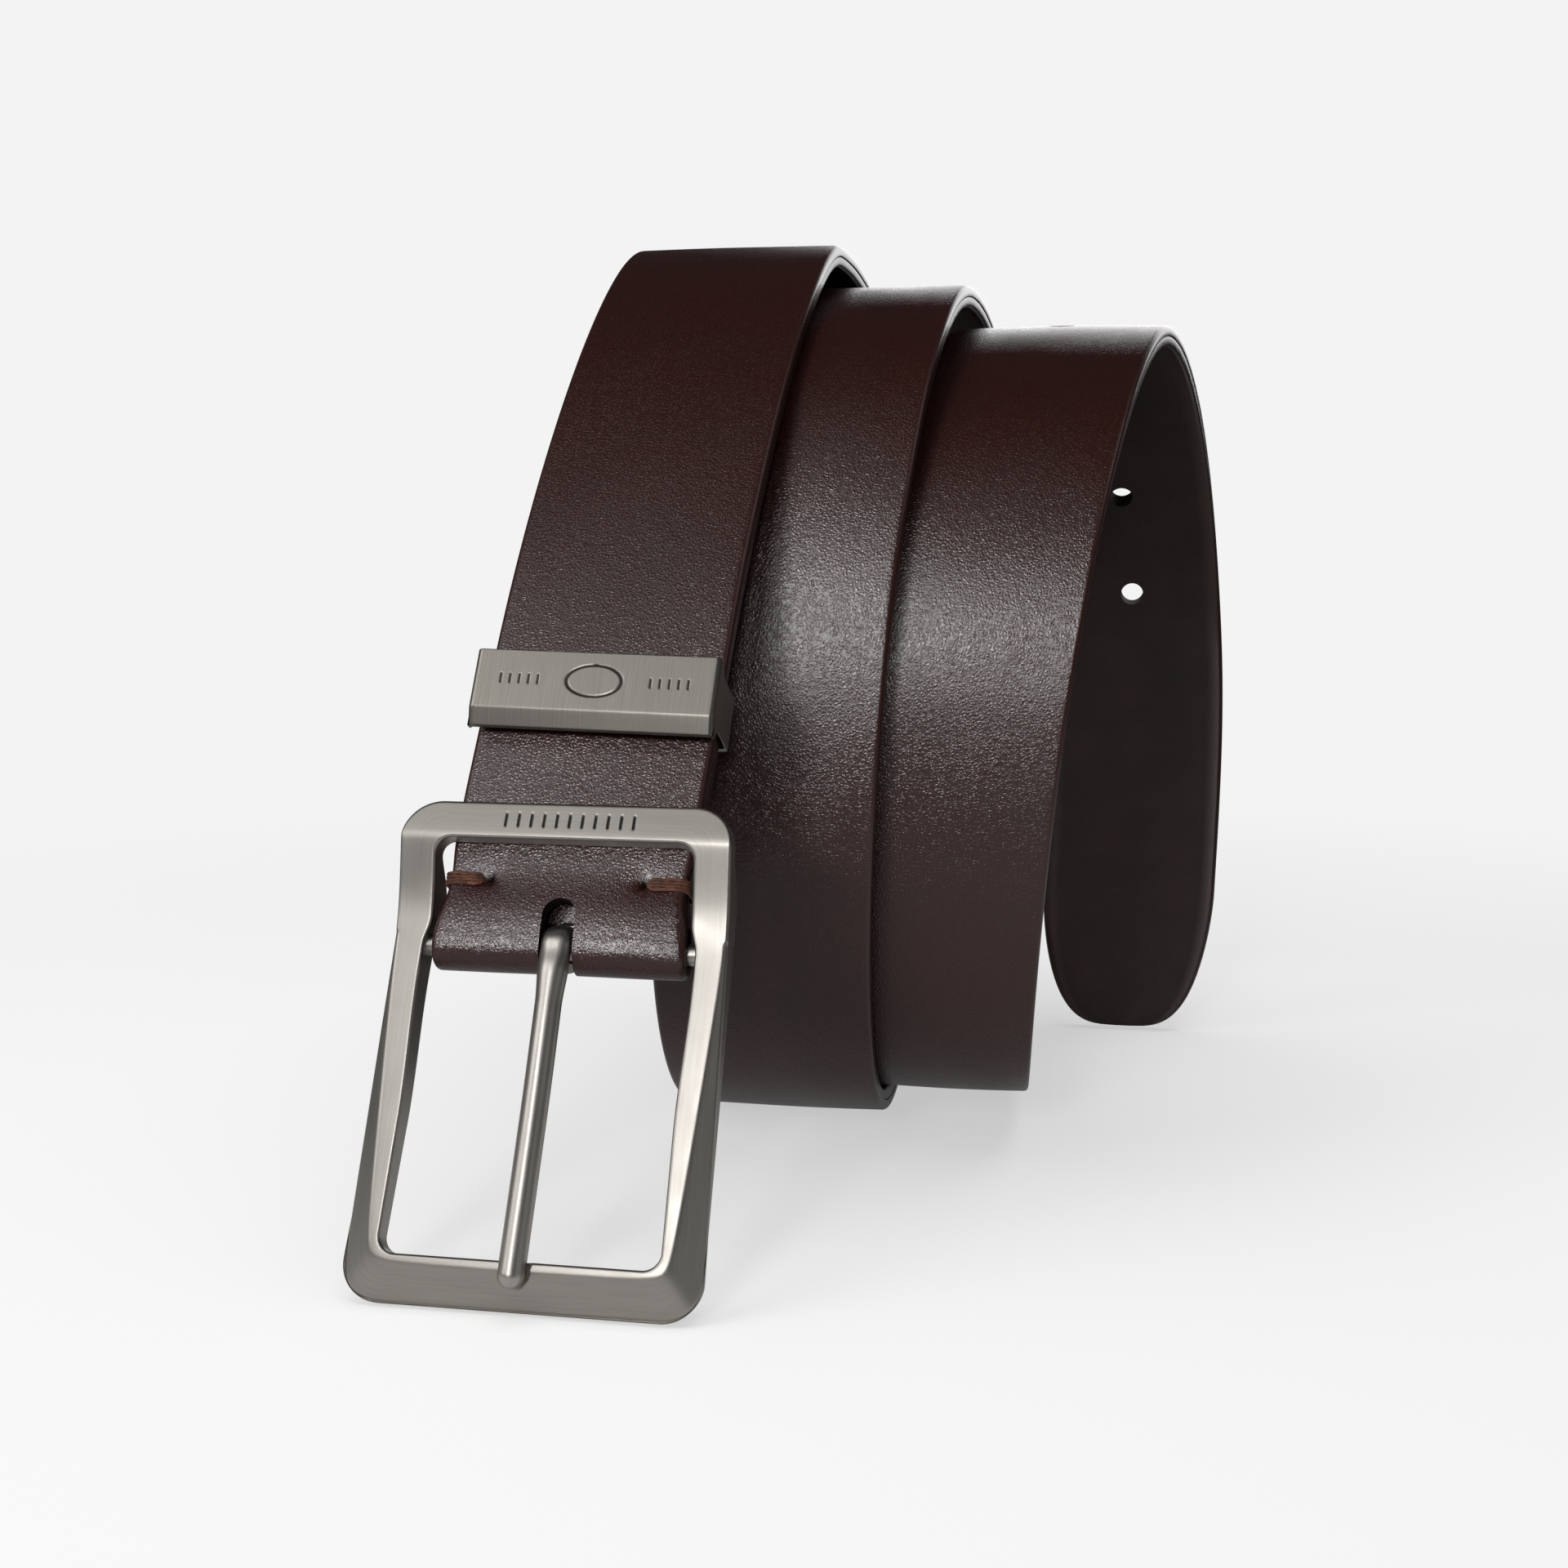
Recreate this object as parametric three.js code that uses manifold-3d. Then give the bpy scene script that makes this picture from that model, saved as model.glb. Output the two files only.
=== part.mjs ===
// A man's leather belt, rolled into a loose coil that lies on its side.
// X runs across the strap, -Y is the buckle's side, +Z is up. Lengths are millimetres.

import * as THREE from 'three';
import { mergeVertices } from 'three/addons/utils/BufferGeometryUtils.js';
import Module from 'manifold-3d';

const wasm = await Module();
wasm.setup();

const GAP = 0.3;

// Strap: a face and a lining glued together, 38 mm (1.5 in) wide.
const STRAP_WIDTH = 38;
const FACE_OUTER = 2.0;
const FACE_INNER = 0.15;
const LINING_OUTER = -0.15;
const LINING_INNER = -1.95;
const LEAF_OUTER = -2.25;
const LEAF_INNER = -4.0;
const LINING_START = 10;
const LEAF_LENGTH = 44;
const SECTION_STEP = 9;

// Axle, and the straight head of the strap that climbs away from it.
const AXLE = new THREE.Vector3(-38, -80.25, 48.8);
const AXLE_RADIUS = 1.6;
const HEAD_ANGLE = THREE.MathUtils.degToRad(62);
const HEAD_STRAIGHT = 46;
const HEAD_RISE = 1;
const FOLD_RADIUS = 3.75;
const FOLD_BULGE = 0.75;
const FOLD_BLEND = 12;

// The coil: each turn lies inside the one before it and further along X.
const TURNS = 3;
const TOP = { y: 11.35, z: 162, in: 5.5, down: 7.3 };
const BACK = { y: 103.85, z: 83.5, in: 6, down: 5.5 };
const FOOT = { y: 32.85, z: 2, in: 6, up: 5.8, flat: 24 };
const FRONT = { y: -41.65, z: 75, in: 5.5, up: 5 };
const DRIFT = [AXLE.x, AXLE.x + 2.2, -29.2, -24, -20.2, -19.2, -14.4, -5.2, 1.4, 5.6, 7, 15.5, 31.3, 44.2, 43.2];
const TAIL_BACK = { y: 89.35, z: 86 };
const TAIL_TIP = { y: 81.85, z: 0.6, lean: 0.12 };
const UPPER_FULLNESS = 0.56;
const LOWER_FULLNESS = 0.66;

// Tip and punched holes.
const TIP_TAPER = 30;
const TIP_STEPS = [0, 0.4, 1.2, 2.6, 5, 9, 14, 20, 27];
const HOLE_COUNT = 5;
const HOLE_DIAMETER = 4.8;
const HOLE_PITCH = 24;
const FIRST_HOLE = 98;

// Slot in the fold for the prong.
const SLOT_WIDTH = 5.2;
const SLOT_FRONT = 7;
const SLOT_BACK = 4.8;

// Buckle, measured from the axle: u across, w down its length, n out of its front.
const BUCKLE_ANGLE = THREE.MathUtils.degToRad(65);
const BUCKLE = { half: 25.8, top: -21.5, bottom: 53, corner: 6 };
const WINDOW = { half: 20.1, top: -15.6, bottom: 46, corner: 2.6 };
const BAR_CREST = 6.1;
const BAR_EDGE = 5.0;
const BAR_UNDER = 2.5;
const RAIL_FRONT = 2.4;
const RAIL_BACK = -2.4;
const RIM = 1.5;
const BEVEL_LOW = -1.0;
const FOOT_BACK = -1.3;
const RAIL_BEND = -2;
const RAIL_SPREAD = 0.055;
const RAIL_SHIFT = -1.15;
const AXLE_IN_RAIL = 2.6;
const NOTCH_RADIUS = 2.5;
const NOTCH_AT = -0.05;

// Prong: a ring round the axle and a rod that leans a little to one side.
const PRONG_RADIUS = 2.0;
const PRONG_RING = { inner: 1.9, outer: 3.7, width: 4.2 };
const PRONG_LENGTH = 50.6;
const PRONG_LEAN = -1.2;
const PRONG_HEIGHT = 3.1;

// Keeper: a cast loop round the strap, with room under its plate for the tail.
const KEEPER = { low: 33, high: 45.6, half: 19.8, inside: 19.4, front: 7.9, under: 6.3, back: -4.7, inback: -3.5 };
const KEEPER_BEVEL = { width: 2.9, depth: 1.2 };
const KEEPER_TURN = THREE.MathUtils.degToRad(1.6);

// Bartacks: short bars of thread across the strap's edges above the axle.
const BARTACK = { at: 9.8, length: 5, height: 2, thick: 0.5, inset: 0.3 };

const LEATHER = { color: 0x2a1512, roughness: 0.45, metalness: 0 };
const LINING = { color: 0x1b1210, roughness: 0.85, metalness: 0 };
const METAL = { color: 0x8d8a85, roughness: 0.35, metalness: 1 };
const THREAD = { color: 0x6e3a22, roughness: 0.8, metalness: 0 };

// ---------------------------------------------------------------- solids and cuts

function toManifold(geometry) {
  const bare = new THREE.BufferGeometry();
  bare.setAttribute('position', geometry.getAttribute('position').clone());
  bare.setIndex(geometry.getIndex() ? geometry.getIndex().clone() : null);
  const merged = mergeVertices(bare, 1e-5);
  const mesh = new wasm.Mesh({
    numProp: 3,
    vertProperties: new Float32Array(merged.getAttribute('position').array),
    triVerts: new Uint32Array(merged.getIndex().array),
  });
  return new wasm.Manifold(mesh);
}

function toGeometry(solid) {
  const mesh = solid.getMesh();
  const geometry = new THREE.BufferGeometry();
  geometry.setAttribute('position', new THREE.BufferAttribute(mesh.vertProperties, mesh.numProp));
  geometry.setIndex(new THREE.BufferAttribute(mesh.triVerts, 1));
  geometry.computeVertexNormals();
  return geometry;
}

function named(name, geometry, look) {
  const mesh = new THREE.Mesh(geometry, new THREE.MeshStandardMaterial(look));
  mesh.name = name;
  return mesh;
}

function roundedShape(half, low, high, radius) {
  const shape = new THREE.Shape();
  shape.moveTo(-half + radius, low);
  shape.lineTo(half - radius, low);
  shape.absarc(half - radius, low + radius, radius, -Math.PI / 2, 0);
  shape.lineTo(half, high - radius);
  shape.absarc(half - radius, high - radius, radius, 0, Math.PI / 2);
  shape.lineTo(-half + radius, high);
  shape.absarc(-half + radius, high - radius, radius, Math.PI / 2, Math.PI);
  shape.lineTo(-half, low + radius);
  shape.absarc(-half + radius, low + radius, radius, Math.PI, Math.PI * 1.5);
  return shape;
}

function prism(shape, depth, start) {
  const geometry = new THREE.ExtrudeGeometry(shape, { depth, bevelEnabled: false, curveSegments: 6 });
  geometry.translate(0, 0, start);
  return geometry;
}

// A shape in the (first, second) plane pushed across u, centred on u = 0.
function acrossU(points, width) {
  const shape = new THREE.Shape(points.map(([first, second]) => new THREE.Vector2(first, second)));
  const geometry = prism(shape, width, -width / 2);
  const toU = new THREE.Matrix4().makeBasis(
    new THREE.Vector3(0, 1, 0), new THREE.Vector3(0, 0, 1), new THREE.Vector3(1, 0, 0));
  return geometry.applyMatrix4(toU);
}

function rodAlong(points, radius, sides) {
  const path = new THREE.CurvePath();
  for (let i = 1; i < points.length; i += 1) {
    path.add(new THREE.LineCurve3(points[i - 1], points[i]));
  }
  const section = new THREE.Shape();
  section.absarc(0, 0, radius, 0, Math.PI * 2);
  return new THREE.ExtrudeGeometry(section, {
    steps: points.length * 3, extrudePath: path, curveSegments: sides, bevelEnabled: false,
  });
}

// ---------------------------------------------------------------- the strap's route

const UP = [0, 1];
const AWAY = [1, 0];
const DOWN = [0, -1];
const BACKWARD = [-1, 0];
const headRun = [Math.cos(HEAD_ANGLE), Math.sin(HEAD_ANGLE)];
const headOut = [-Math.sin(HEAD_ANGLE), Math.cos(HEAD_ANGLE)];

function stations() {
  const start = [AXLE.y + HEAD_RISE * headOut[0], AXLE.z + HEAD_RISE * headOut[1]];
  const lift = [start[0] + HEAD_STRAIGHT * headRun[0], start[1] + HEAD_STRAIGHT * headRun[1]];
  const list = [{ at: start, run: headRun }, { at: lift, run: headRun }];
  for (let turn = 0; turn < TURNS; turn += 1) {
    if (turn > 0) {
      list.push({ at: [FRONT.y + FRONT.in * (turn - 1), FRONT.z + FRONT.up * (turn - 1)], run: UP });
    }
    list.push({ at: [TOP.y + TOP.in * turn, TOP.z - TOP.down * turn], run: AWAY });
    if (turn < TURNS - 1) {
      const footY = FOOT.y - FOOT.in * turn;
      const footZ = FOOT.z + FOOT.up * turn;
      list.push({ at: [BACK.y - BACK.in * turn, BACK.z - BACK.down * turn], run: DOWN });
      list.push({ at: [footY + FOOT.flat / 2, footZ], run: BACKWARD });
      list.push({ at: [footY - FOOT.flat / 2, footZ], run: BACKWARD, foot: true });
    }
  }
  list.push({ at: [TAIL_BACK.y, TAIL_BACK.z], run: DOWN });
  list.push({ at: [TAIL_TIP.y, TAIL_TIP.z], run: [-Math.sin(TAIL_TIP.lean), -Math.cos(TAIL_TIP.lean)], tip: true });
  return list.map((station, i) => ({ ...station, x: DRIFT[i] }));
}

function stretch(from, to) {
  const a = new THREE.Vector2(...from.at);
  const b = new THREE.Vector2(...to.at);
  const runA = new THREE.Vector2(...from.run);
  const runB = new THREE.Vector2(...to.run);
  const cross = runA.cross(runB);
  if (Math.abs(cross) < 0.01) {
    return new THREE.LineCurve(a, b);
  }
  if (to.tip) {
    const reach = a.distanceTo(b) * 0.35;
    return new THREE.CubicBezierCurve(
      a, a.clone().addScaledVector(runA, reach), b.clone().addScaledVector(runB, -reach), b);
  }
  const between = b.clone().sub(a);
  const corner = a.clone().addScaledVector(runA, between.cross(runB) / cross);
  const fullness = from.foot || to.run === BACKWARD ? LOWER_FULLNESS : UPPER_FULLNESS;
  return new THREE.CubicBezierCurve(a, a.clone().lerp(corner, fullness), b.clone().lerp(corner, fullness), b);
}

// The middle of the strap by distance along it: place, way on, way out, sideways drift.
class Route {
  constructor() {
    this.stops = stations();
    this.samples = [];
    this.knots = [0];
    let length = 0;
    let last = new THREE.Vector2(...this.stops[0].at);
    for (let i = 1; i < this.stops.length; i += 1) {
      const piece = stretch(this.stops[i - 1], this.stops[i]);
      const fineness = 80;
      for (let k = i === 1 ? 0 : 1; k <= fineness; k += 1) {
        const point = piece.getPoint(k / fineness);
        length += point.distanceTo(last);
        last = point;
        this.samples.push({ s: length, point, run: piece.getTangent(k / fineness) });
      }
      this.knots.push(length);
    }
    this.length = length;
  }

  // Sideways place and its slope: a smooth cubic through the drift at each station.
  drift(s) {
    const { knots, stops } = this;
    let i = 0;
    while (i < knots.length - 2 && s > knots[i + 1]) {
      i += 1;
    }
    const slope = (k) => (k === 0 || k === knots.length - 1
      ? 0 : (stops[k + 1].x - stops[k - 1].x) / (knots[k + 1] - knots[k - 1]));
    const span = knots[i + 1] - knots[i];
    const t = THREE.MathUtils.clamp((s - knots[i]) / span, 0, 1);
    const x = (2 * t ** 3 - 3 * t ** 2 + 1) * stops[i].x + (t ** 3 - 2 * t ** 2 + t) * span * slope(i)
      + (3 * t ** 2 - 2 * t ** 3) * stops[i + 1].x + (t ** 3 - t ** 2) * span * slope(i + 1);
    const rise = (6 * t ** 2 - 6 * t) * (stops[i].x - stops[i + 1].x) / span
      + (3 * t ** 2 - 4 * t + 1) * slope(i) + (3 * t ** 2 - 2 * t) * slope(i + 1);
    return { x, rise };
  }

  at(s) {
    const { samples } = this;
    let low = 0;
    let high = samples.length - 1;
    while (high - low > 1) {
      const middle = (low + high) >> 1;
      if (samples[middle].s <= s) {
        low = middle;
      } else {
        high = middle;
      }
    }
    const a = samples[low];
    const b = samples[high];
    const t = (s - a.s) / (b.s - a.s);
    const point = a.point.clone().lerp(b.point, t);
    const run = a.run.clone().lerp(b.run, THREE.MathUtils.clamp(t, 0, 1)).normalize();
    const { x, rise } = this.drift(s);
    return { x, point, run, out: new THREE.Vector2(-run.y, run.x), stretch: Math.hypot(1, rise) };
  }
}

const route = new Route();

// Half the strap's width at a distance from the tip: straight edges, then a rounded blunt end.
function halfWidth(s) {
  const fromTip = route.length - s;
  if (fromTip >= TIP_TAPER) {
    return STRAP_WIDTH / 2;
  }
  const along = 1 - Math.max(fromTip, 0) / TIP_TAPER;
  return Math.max(2.5, (STRAP_WIDTH / 2) * (1 - along ** 1.6) ** (1 / 3.7));
}

function distances(from, to) {
  const count = Math.ceil((to - from) / SECTION_STEP);
  const list = Array.from({ length: count }, (_, i) => from + ((to - from) * i) / count);
  list.push(to);
  return list;
}

// A section is a flat rectangle across the strap: two ends of its outer side, then its inner side.
function section(s, outer, inner) {
  const place = route.at(s);
  const half = halfWidth(s) * place.stretch;
  const corner = (x, offset) => [
    x, place.point.x + offset * place.out.x, place.point.y + offset * place.out.y];
  return [
    corner(place.x - half, outer), corner(place.x + half, outer),
    corner(place.x + half, inner), corner(place.x - half, inner)];
}

// Four-cornered sections joined in order into one closed solid.
function ribbon(sections) {
  const indices = [];
  const count = sections.length;
  for (let i = 0; i < count - 1; i += 1) {
    for (let k = 0; k < 4; k += 1) {
      const a = i * 4 + k;
      const b = i * 4 + ((k + 1) % 4);
      indices.push(a, b, b + 4, a, b + 4, a + 4);
    }
  }
  const last = (count - 1) * 4;
  indices.push(0, 2, 1, 0, 3, 2, last, last + 1, last + 2, last, last + 2, last + 3);
  const geometry = new THREE.BufferGeometry();
  geometry.setAttribute('position', new THREE.Float32BufferAttribute(sections.flat(2), 3));
  geometry.setIndex(indices);
  return geometry;
}

// ---------------------------------------------------------------- strap

function tailDistances(from) {
  const straight = distances(from, route.length - TIP_TAPER);
  const tip = [...TIP_STEPS].reverse().map((step) => route.length - step);
  return [...straight, ...tip];
}

function bulge(s) {
  const t = THREE.MathUtils.clamp(s / FOLD_BLEND, 0, 1);
  return FOLD_BULGE * (1 - t * t * (3 - 2 * t));
}

function headDistances() {
  return [0, 3, 6, 9, FOLD_BLEND];
}

// The leaf comes up behind the lining, the fold goes round the axle, and the face runs to the tip.
function faceSections() {
  const leaf = [...headDistances(), ...distances(FOLD_BLEND, LEAF_LENGTH).slice(1)].reverse()
    .map((s) => section(s, LEAF_INNER - bulge(s), LEAF_OUTER - bulge(s)));
  const start = route.at(0);
  const half = STRAP_WIDTH / 2;
  const thickness = FACE_OUTER - FACE_INNER;
  const fold = [];
  const foldSteps = 10;
  for (let i = 1; i < foldSteps; i += 1) {
    const angle = HEAD_ANGLE - Math.PI / 2 - (Math.PI * i) / foldSteps;
    const corner = (x, radius) => [
      x, AXLE.y + radius * Math.cos(angle), AXLE.z + radius * Math.sin(angle)];
    fold.push([
      corner(start.x - half, FOLD_RADIUS), corner(start.x + half, FOLD_RADIUS),
      corner(start.x + half, FOLD_RADIUS - thickness), corner(start.x - half, FOLD_RADIUS - thickness)]);
  }
  const face = [...headDistances(), ...tailDistances(FOLD_BLEND).slice(1)]
    .map((s) => section(s, FACE_OUTER + bulge(s), FACE_INNER + bulge(s)));
  return [...leaf, ...fold, ...face];
}

function holePunch() {
  const punches = [];
  for (let i = 0; i < HOLE_COUNT; i += 1) {
    const place = route.at(route.length - FIRST_HOLE - i * HOLE_PITCH);
    const punch = new THREE.CylinderGeometry(HOLE_DIAMETER / 2, HOLE_DIAMETER / 2, 12, 16);
    const out = new THREE.Vector3(0, place.out.x, place.out.y);
    punch.applyQuaternion(new THREE.Quaternion().setFromUnitVectors(new THREE.Vector3(0, 1, 0), out));
    punch.translate(place.x, place.point.x, place.point.y);
    punches.push(toManifold(punch));
  }
  return punches.reduce((all, punch) => all.add(punch));
}

// Frame of the head: u across, d up the strap, out of its face, from the axle.
function headFrame() {
  return new THREE.Matrix4().makeBasis(
    new THREE.Vector3(1, 0, 0), new THREE.Vector3(0, headRun[0], headRun[1]),
    new THREE.Vector3(0, headOut[0], headOut[1])).setPosition(AXLE);
}

function slotCutter() {
  const reach = 9;
  const stadium = (top) => {
    const shape = new THREE.Shape();
    const half = SLOT_WIDTH / 2;
    shape.moveTo(-half, -reach);
    shape.lineTo(half, -reach);
    shape.lineTo(half, top - half);
    shape.absarc(0, top - half, half, 0, Math.PI);
    shape.lineTo(-half, -reach);
    return shape;
  };
  const front = toManifold(prism(stadium(SLOT_FRONT), reach, -0.5).applyMatrix4(headFrame()));
  const back = toManifold(prism(stadium(SLOT_BACK), reach, -reach).applyMatrix4(headFrame()));
  return front.add(back);
}

function strapFace(punch) {
  const whole = toManifold(ribbon(faceSections()));
  return named('strap_face', toGeometry(whole.subtract(slotCutter()).subtract(punch)), LEATHER);
}

function strapLining(punch) {
  const sections = tailDistances(LINING_START).map((s) => section(s, LINING_OUTER, LINING_INNER));
  const whole = toManifold(ribbon(sections));
  return named('strap_lining', toGeometry(whole.subtract(slotCutter()).subtract(punch)), LINING);
}

// ---------------------------------------------------------------- buckle

// Frame of the buckle: u across, w down its length, n out of its front.
function buckleFrame() {
  const c = Math.cos(BUCKLE_ANGLE);
  const s = Math.sin(BUCKLE_ANGLE);
  return new THREE.Matrix4().makeBasis(
    new THREE.Vector3(1, 0, 0), new THREE.Vector3(0, -c, -s), new THREE.Vector3(0, -s, c));
}

// A block whose face lies on the plane through three points, filling the side that `away` is on.
function planeCutter(p1, p2, p3, away) {
  const plane = new THREE.Plane().setFromCoplanarPoints(p1, p2, p3);
  if (plane.distanceToPoint(away) < 0) {
    plane.negate();
  }
  const size = 120;
  const block = new THREE.BoxGeometry(size, size, size);
  block.translate(0, 0, size / 2);
  block.applyQuaternion(new THREE.Quaternion().setFromUnitVectors(new THREE.Vector3(0, 0, 1), plane.normal));
  block.translate(p1.x, p1.y, p1.z);
  return toManifold(block);
}

// Side view of the frame: the top bar stands proud, the rails slope down from it and thin out.
function sideView() {
  return [
    [BUCKLE.top - 1, BAR_EDGE - 0.2], [WINDOW.top - 0.2, BAR_CREST], [-5, RAIL_FRONT + 0.2],
    [RAIL_BEND, RAIL_FRONT], [BUCKLE.bottom + 1, RAIL_FRONT - 0.4], [BUCKLE.bottom + 1, FOOT_BACK],
    [WINDOW.bottom, FOOT_BACK], [4, RAIL_BACK], [-8, RAIL_BACK], [WINDOW.top + 0.6, BAR_UNDER],
    [BUCKLE.top - 1, BAR_UNDER]];
}

// Below the bend the rails spread apart, and the foot stands a little to one side.
function spreadRails(geometry) {
  const position = geometry.getAttribute('position');
  for (let i = 0; i < position.count; i += 1) {
    const share = Math.max(0, position.getY(i) - RAIL_BEND) / (BUCKLE.bottom - RAIL_BEND);
    position.setX(i, position.getX(i) * (1 + RAIL_SPREAD * share) + RAIL_SHIFT * share);
  }
  return geometry;
}

function frameSolid() {
  const depth = 40;
  const outline = roundedShape(BUCKLE.half, BUCKLE.top, BUCKLE.bottom, BUCKLE.corner);
  const opening = roundedShape(WINDOW.half, WINDOW.top, WINDOW.bottom, WINDOW.corner);
  let solid = toManifold(acrossU(sideView(), 2 * BUCKLE.half + 2))
    .intersect(toManifold(prism(outline, depth, -depth / 2)))
    .subtract(toManifold(prism(opening, depth, -depth / 2)));
  const rimFoot = WINDOW.bottom + RIM;
  const above = new THREE.BoxGeometry(400, 200, 400);
  above.translate(0, RAIL_BEND - 100, 0);
  const upperPart = toManifold(above);
  for (const side of [-1, 1]) {
    const outer = side * BUCKLE.half;
    solid = solid.subtract(planeCutter(
      new THREE.Vector3(outer, RAIL_BEND, RAIL_FRONT),
      new THREE.Vector3(side * (WINDOW.half + RIM), rimFoot, RAIL_FRONT - 0.3),
      new THREE.Vector3(outer, rimFoot, BEVEL_LOW),
      new THREE.Vector3(outer * 2, rimFoot, RAIL_FRONT)).subtract(upperPart));
    const socket = new THREE.CylinderGeometry(AXLE_RADIUS + GAP, AXLE_RADIUS + GAP, AXLE_IN_RAIL + GAP + 1, 20);
    socket.rotateZ(Math.PI / 2);
    socket.translate(side * (WINDOW.half + (AXLE_IN_RAIL + GAP - 1) / 2), 0, 0);
    solid = solid.subtract(toManifold(socket));
  }
  solid = solid.subtract(planeCutter(
    new THREE.Vector3(0, rimFoot, RAIL_FRONT - 0.3), new THREE.Vector3(9, rimFoot, RAIL_FRONT - 0.3),
    new THREE.Vector3(0, BUCKLE.bottom, BEVEL_LOW), new THREE.Vector3(0, BUCKLE.bottom * 2, RAIL_FRONT)));
  const notch = new THREE.CylinderGeometry(NOTCH_RADIUS, NOTCH_RADIUS, 20, 20);
  notch.translate(NOTCH_AT, WINDOW.bottom, PRONG_HEIGHT);
  return solid.subtract(toManifold(notch));
}

function buckleGroup() {
  const frame = named('buckle_frame', spreadRails(toGeometry(frameSolid())), METAL);
  const axleLength = 2 * (WINDOW.half + AXLE_IN_RAIL);
  const bar = new THREE.CylinderGeometry(AXLE_RADIUS, AXLE_RADIUS, axleLength, 20);
  bar.rotateZ(Math.PI / 2);
  const axle = named('buckle_axle', bar, METAL);
  const prong = named('prong', toGeometry(prongSolid()), METAL);
  const group = new THREE.Group();
  group.add(frame, axle, prong);
  group.applyMatrix4(buckleFrame());
  group.position.copy(AXLE);
  return group;
}

function prongSolid() {
  const ring = new THREE.CylinderGeometry(PRONG_RING.outer, PRONG_RING.outer, PRONG_RING.width, 24);
  const eye = new THREE.CylinderGeometry(PRONG_RING.inner, PRONG_RING.inner, PRONG_RING.width + 2, 24);
  ring.rotateZ(Math.PI / 2);
  eye.rotateZ(Math.PI / 2);
  const bend = PRONG_RING.outer + 1.3;
  const path = [
    new THREE.Vector3(0, 0, PRONG_RING.outer + 0.2),
    new THREE.Vector3(PRONG_LEAN * 0.1, bend, PRONG_HEIGHT + 0.4),
    new THREE.Vector3(PRONG_LEAN * 0.5, PRONG_LENGTH / 2, PRONG_HEIGHT),
    new THREE.Vector3(PRONG_LEAN, PRONG_LENGTH, PRONG_HEIGHT)];
  const rod = toManifold(rodAlong(path, PRONG_RADIUS, 10));
  return toManifold(ring).add(rod).subtract(toManifold(eye));
}

// ---------------------------------------------------------------- keeper and bartacks

function keeperMesh() {
  const { low, high, half, inside, front, under, back, inback } = KEEPER;
  const bevelled = [
    [low, front - KEEPER_BEVEL.depth], [low + KEEPER_BEVEL.width, front], [high, front],
    [high, back], [low, back]];
  const hollow = new THREE.BoxGeometry(2 * inside, high - low + 4, under - inback);
  hollow.translate(0, (low + high) / 2, (under + inback) / 2);
  const solid = toManifold(acrossU(bevelled, 2 * half)).subtract(toManifold(hollow));
  const middle = route.at((low + high) / 2).x;
  const keeper = named('keeper', toGeometry(solid), METAL);
  const centre = new THREE.Vector3(0, (low + high) / 2, 0);
  keeper.position.copy(centre.clone().sub(centre.clone().applyAxisAngle(new THREE.Vector3(0, 0, 1), -KEEPER_TURN)));
  keeper.rotation.z = -KEEPER_TURN;
  keeper.updateMatrix();
  keeper.applyMatrix4(headFrame());
  keeper.position.x += middle - AXLE.x;
  return keeper;
}

function bartackMesh(name, side) {
  const { at, length, height, thick, inset } = BARTACK;
  const bar = new THREE.BoxGeometry(length, height, thick);
  const mesh = named(name, bar, THREAD);
  mesh.position.set(
    side * (STRAP_WIDTH / 2 - inset - length / 2), at,
    HEAD_RISE + FACE_OUTER + bulge(at - height) + GAP + thick / 2);
  return mesh;
}

function headGroup() {
  const group = new THREE.Group();
  group.add(bartackMesh('bartack_left', -1), bartackMesh('bartack_right', 1));
  group.applyMatrix4(headFrame());
  return group;
}

const punch = holePunch();
const belt = new THREE.Group();
belt.add(strapFace(punch), strapLining(punch), buckleGroup(), keeperMesh(), headGroup());

export default belt;
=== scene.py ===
import math

import bpy
import numpy as np
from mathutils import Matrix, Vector


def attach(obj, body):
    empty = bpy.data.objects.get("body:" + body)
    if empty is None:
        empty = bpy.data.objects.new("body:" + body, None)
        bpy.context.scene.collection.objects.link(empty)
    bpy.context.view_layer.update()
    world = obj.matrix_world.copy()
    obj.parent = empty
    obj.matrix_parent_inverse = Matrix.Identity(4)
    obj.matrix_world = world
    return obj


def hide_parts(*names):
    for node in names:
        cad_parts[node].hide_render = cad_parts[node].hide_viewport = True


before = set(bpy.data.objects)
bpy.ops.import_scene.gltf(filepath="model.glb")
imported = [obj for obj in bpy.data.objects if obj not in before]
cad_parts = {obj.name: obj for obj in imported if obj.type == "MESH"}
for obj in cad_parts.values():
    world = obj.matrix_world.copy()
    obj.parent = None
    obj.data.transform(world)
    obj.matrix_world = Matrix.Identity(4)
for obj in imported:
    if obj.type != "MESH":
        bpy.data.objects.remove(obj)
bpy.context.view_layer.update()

# ---- Strap lining ----------------------------------------------------------------------------
# The inner half of the strap: a 38 mm wide length of thin split leather, dyed dark brown.
# It is glued flesh side to flesh side under the face and trimmed with it, then both edges are
# rounded and painted, so a fine seam is all that parts the two at the edge.

STRAP_WIDTH = 38.0
LINING_SIDES = (-0.06, -1.95)
LINING_START = 10.0
TIP_TAPER = 30.0
HOLE_COUNT, HOLE_DIAMETER, HOLE_PITCH, FIRST_HOLE = 5, 4.8, 24.0, 98.0
SLOT_WIDTH, SLOT_FRONT, SLOT_BACK = 5.2, 7.0, 4.8
HEAD_ANGLE = math.radians(62)
AXLE = np.array([-38.0, -80.25, 48.8])


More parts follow.
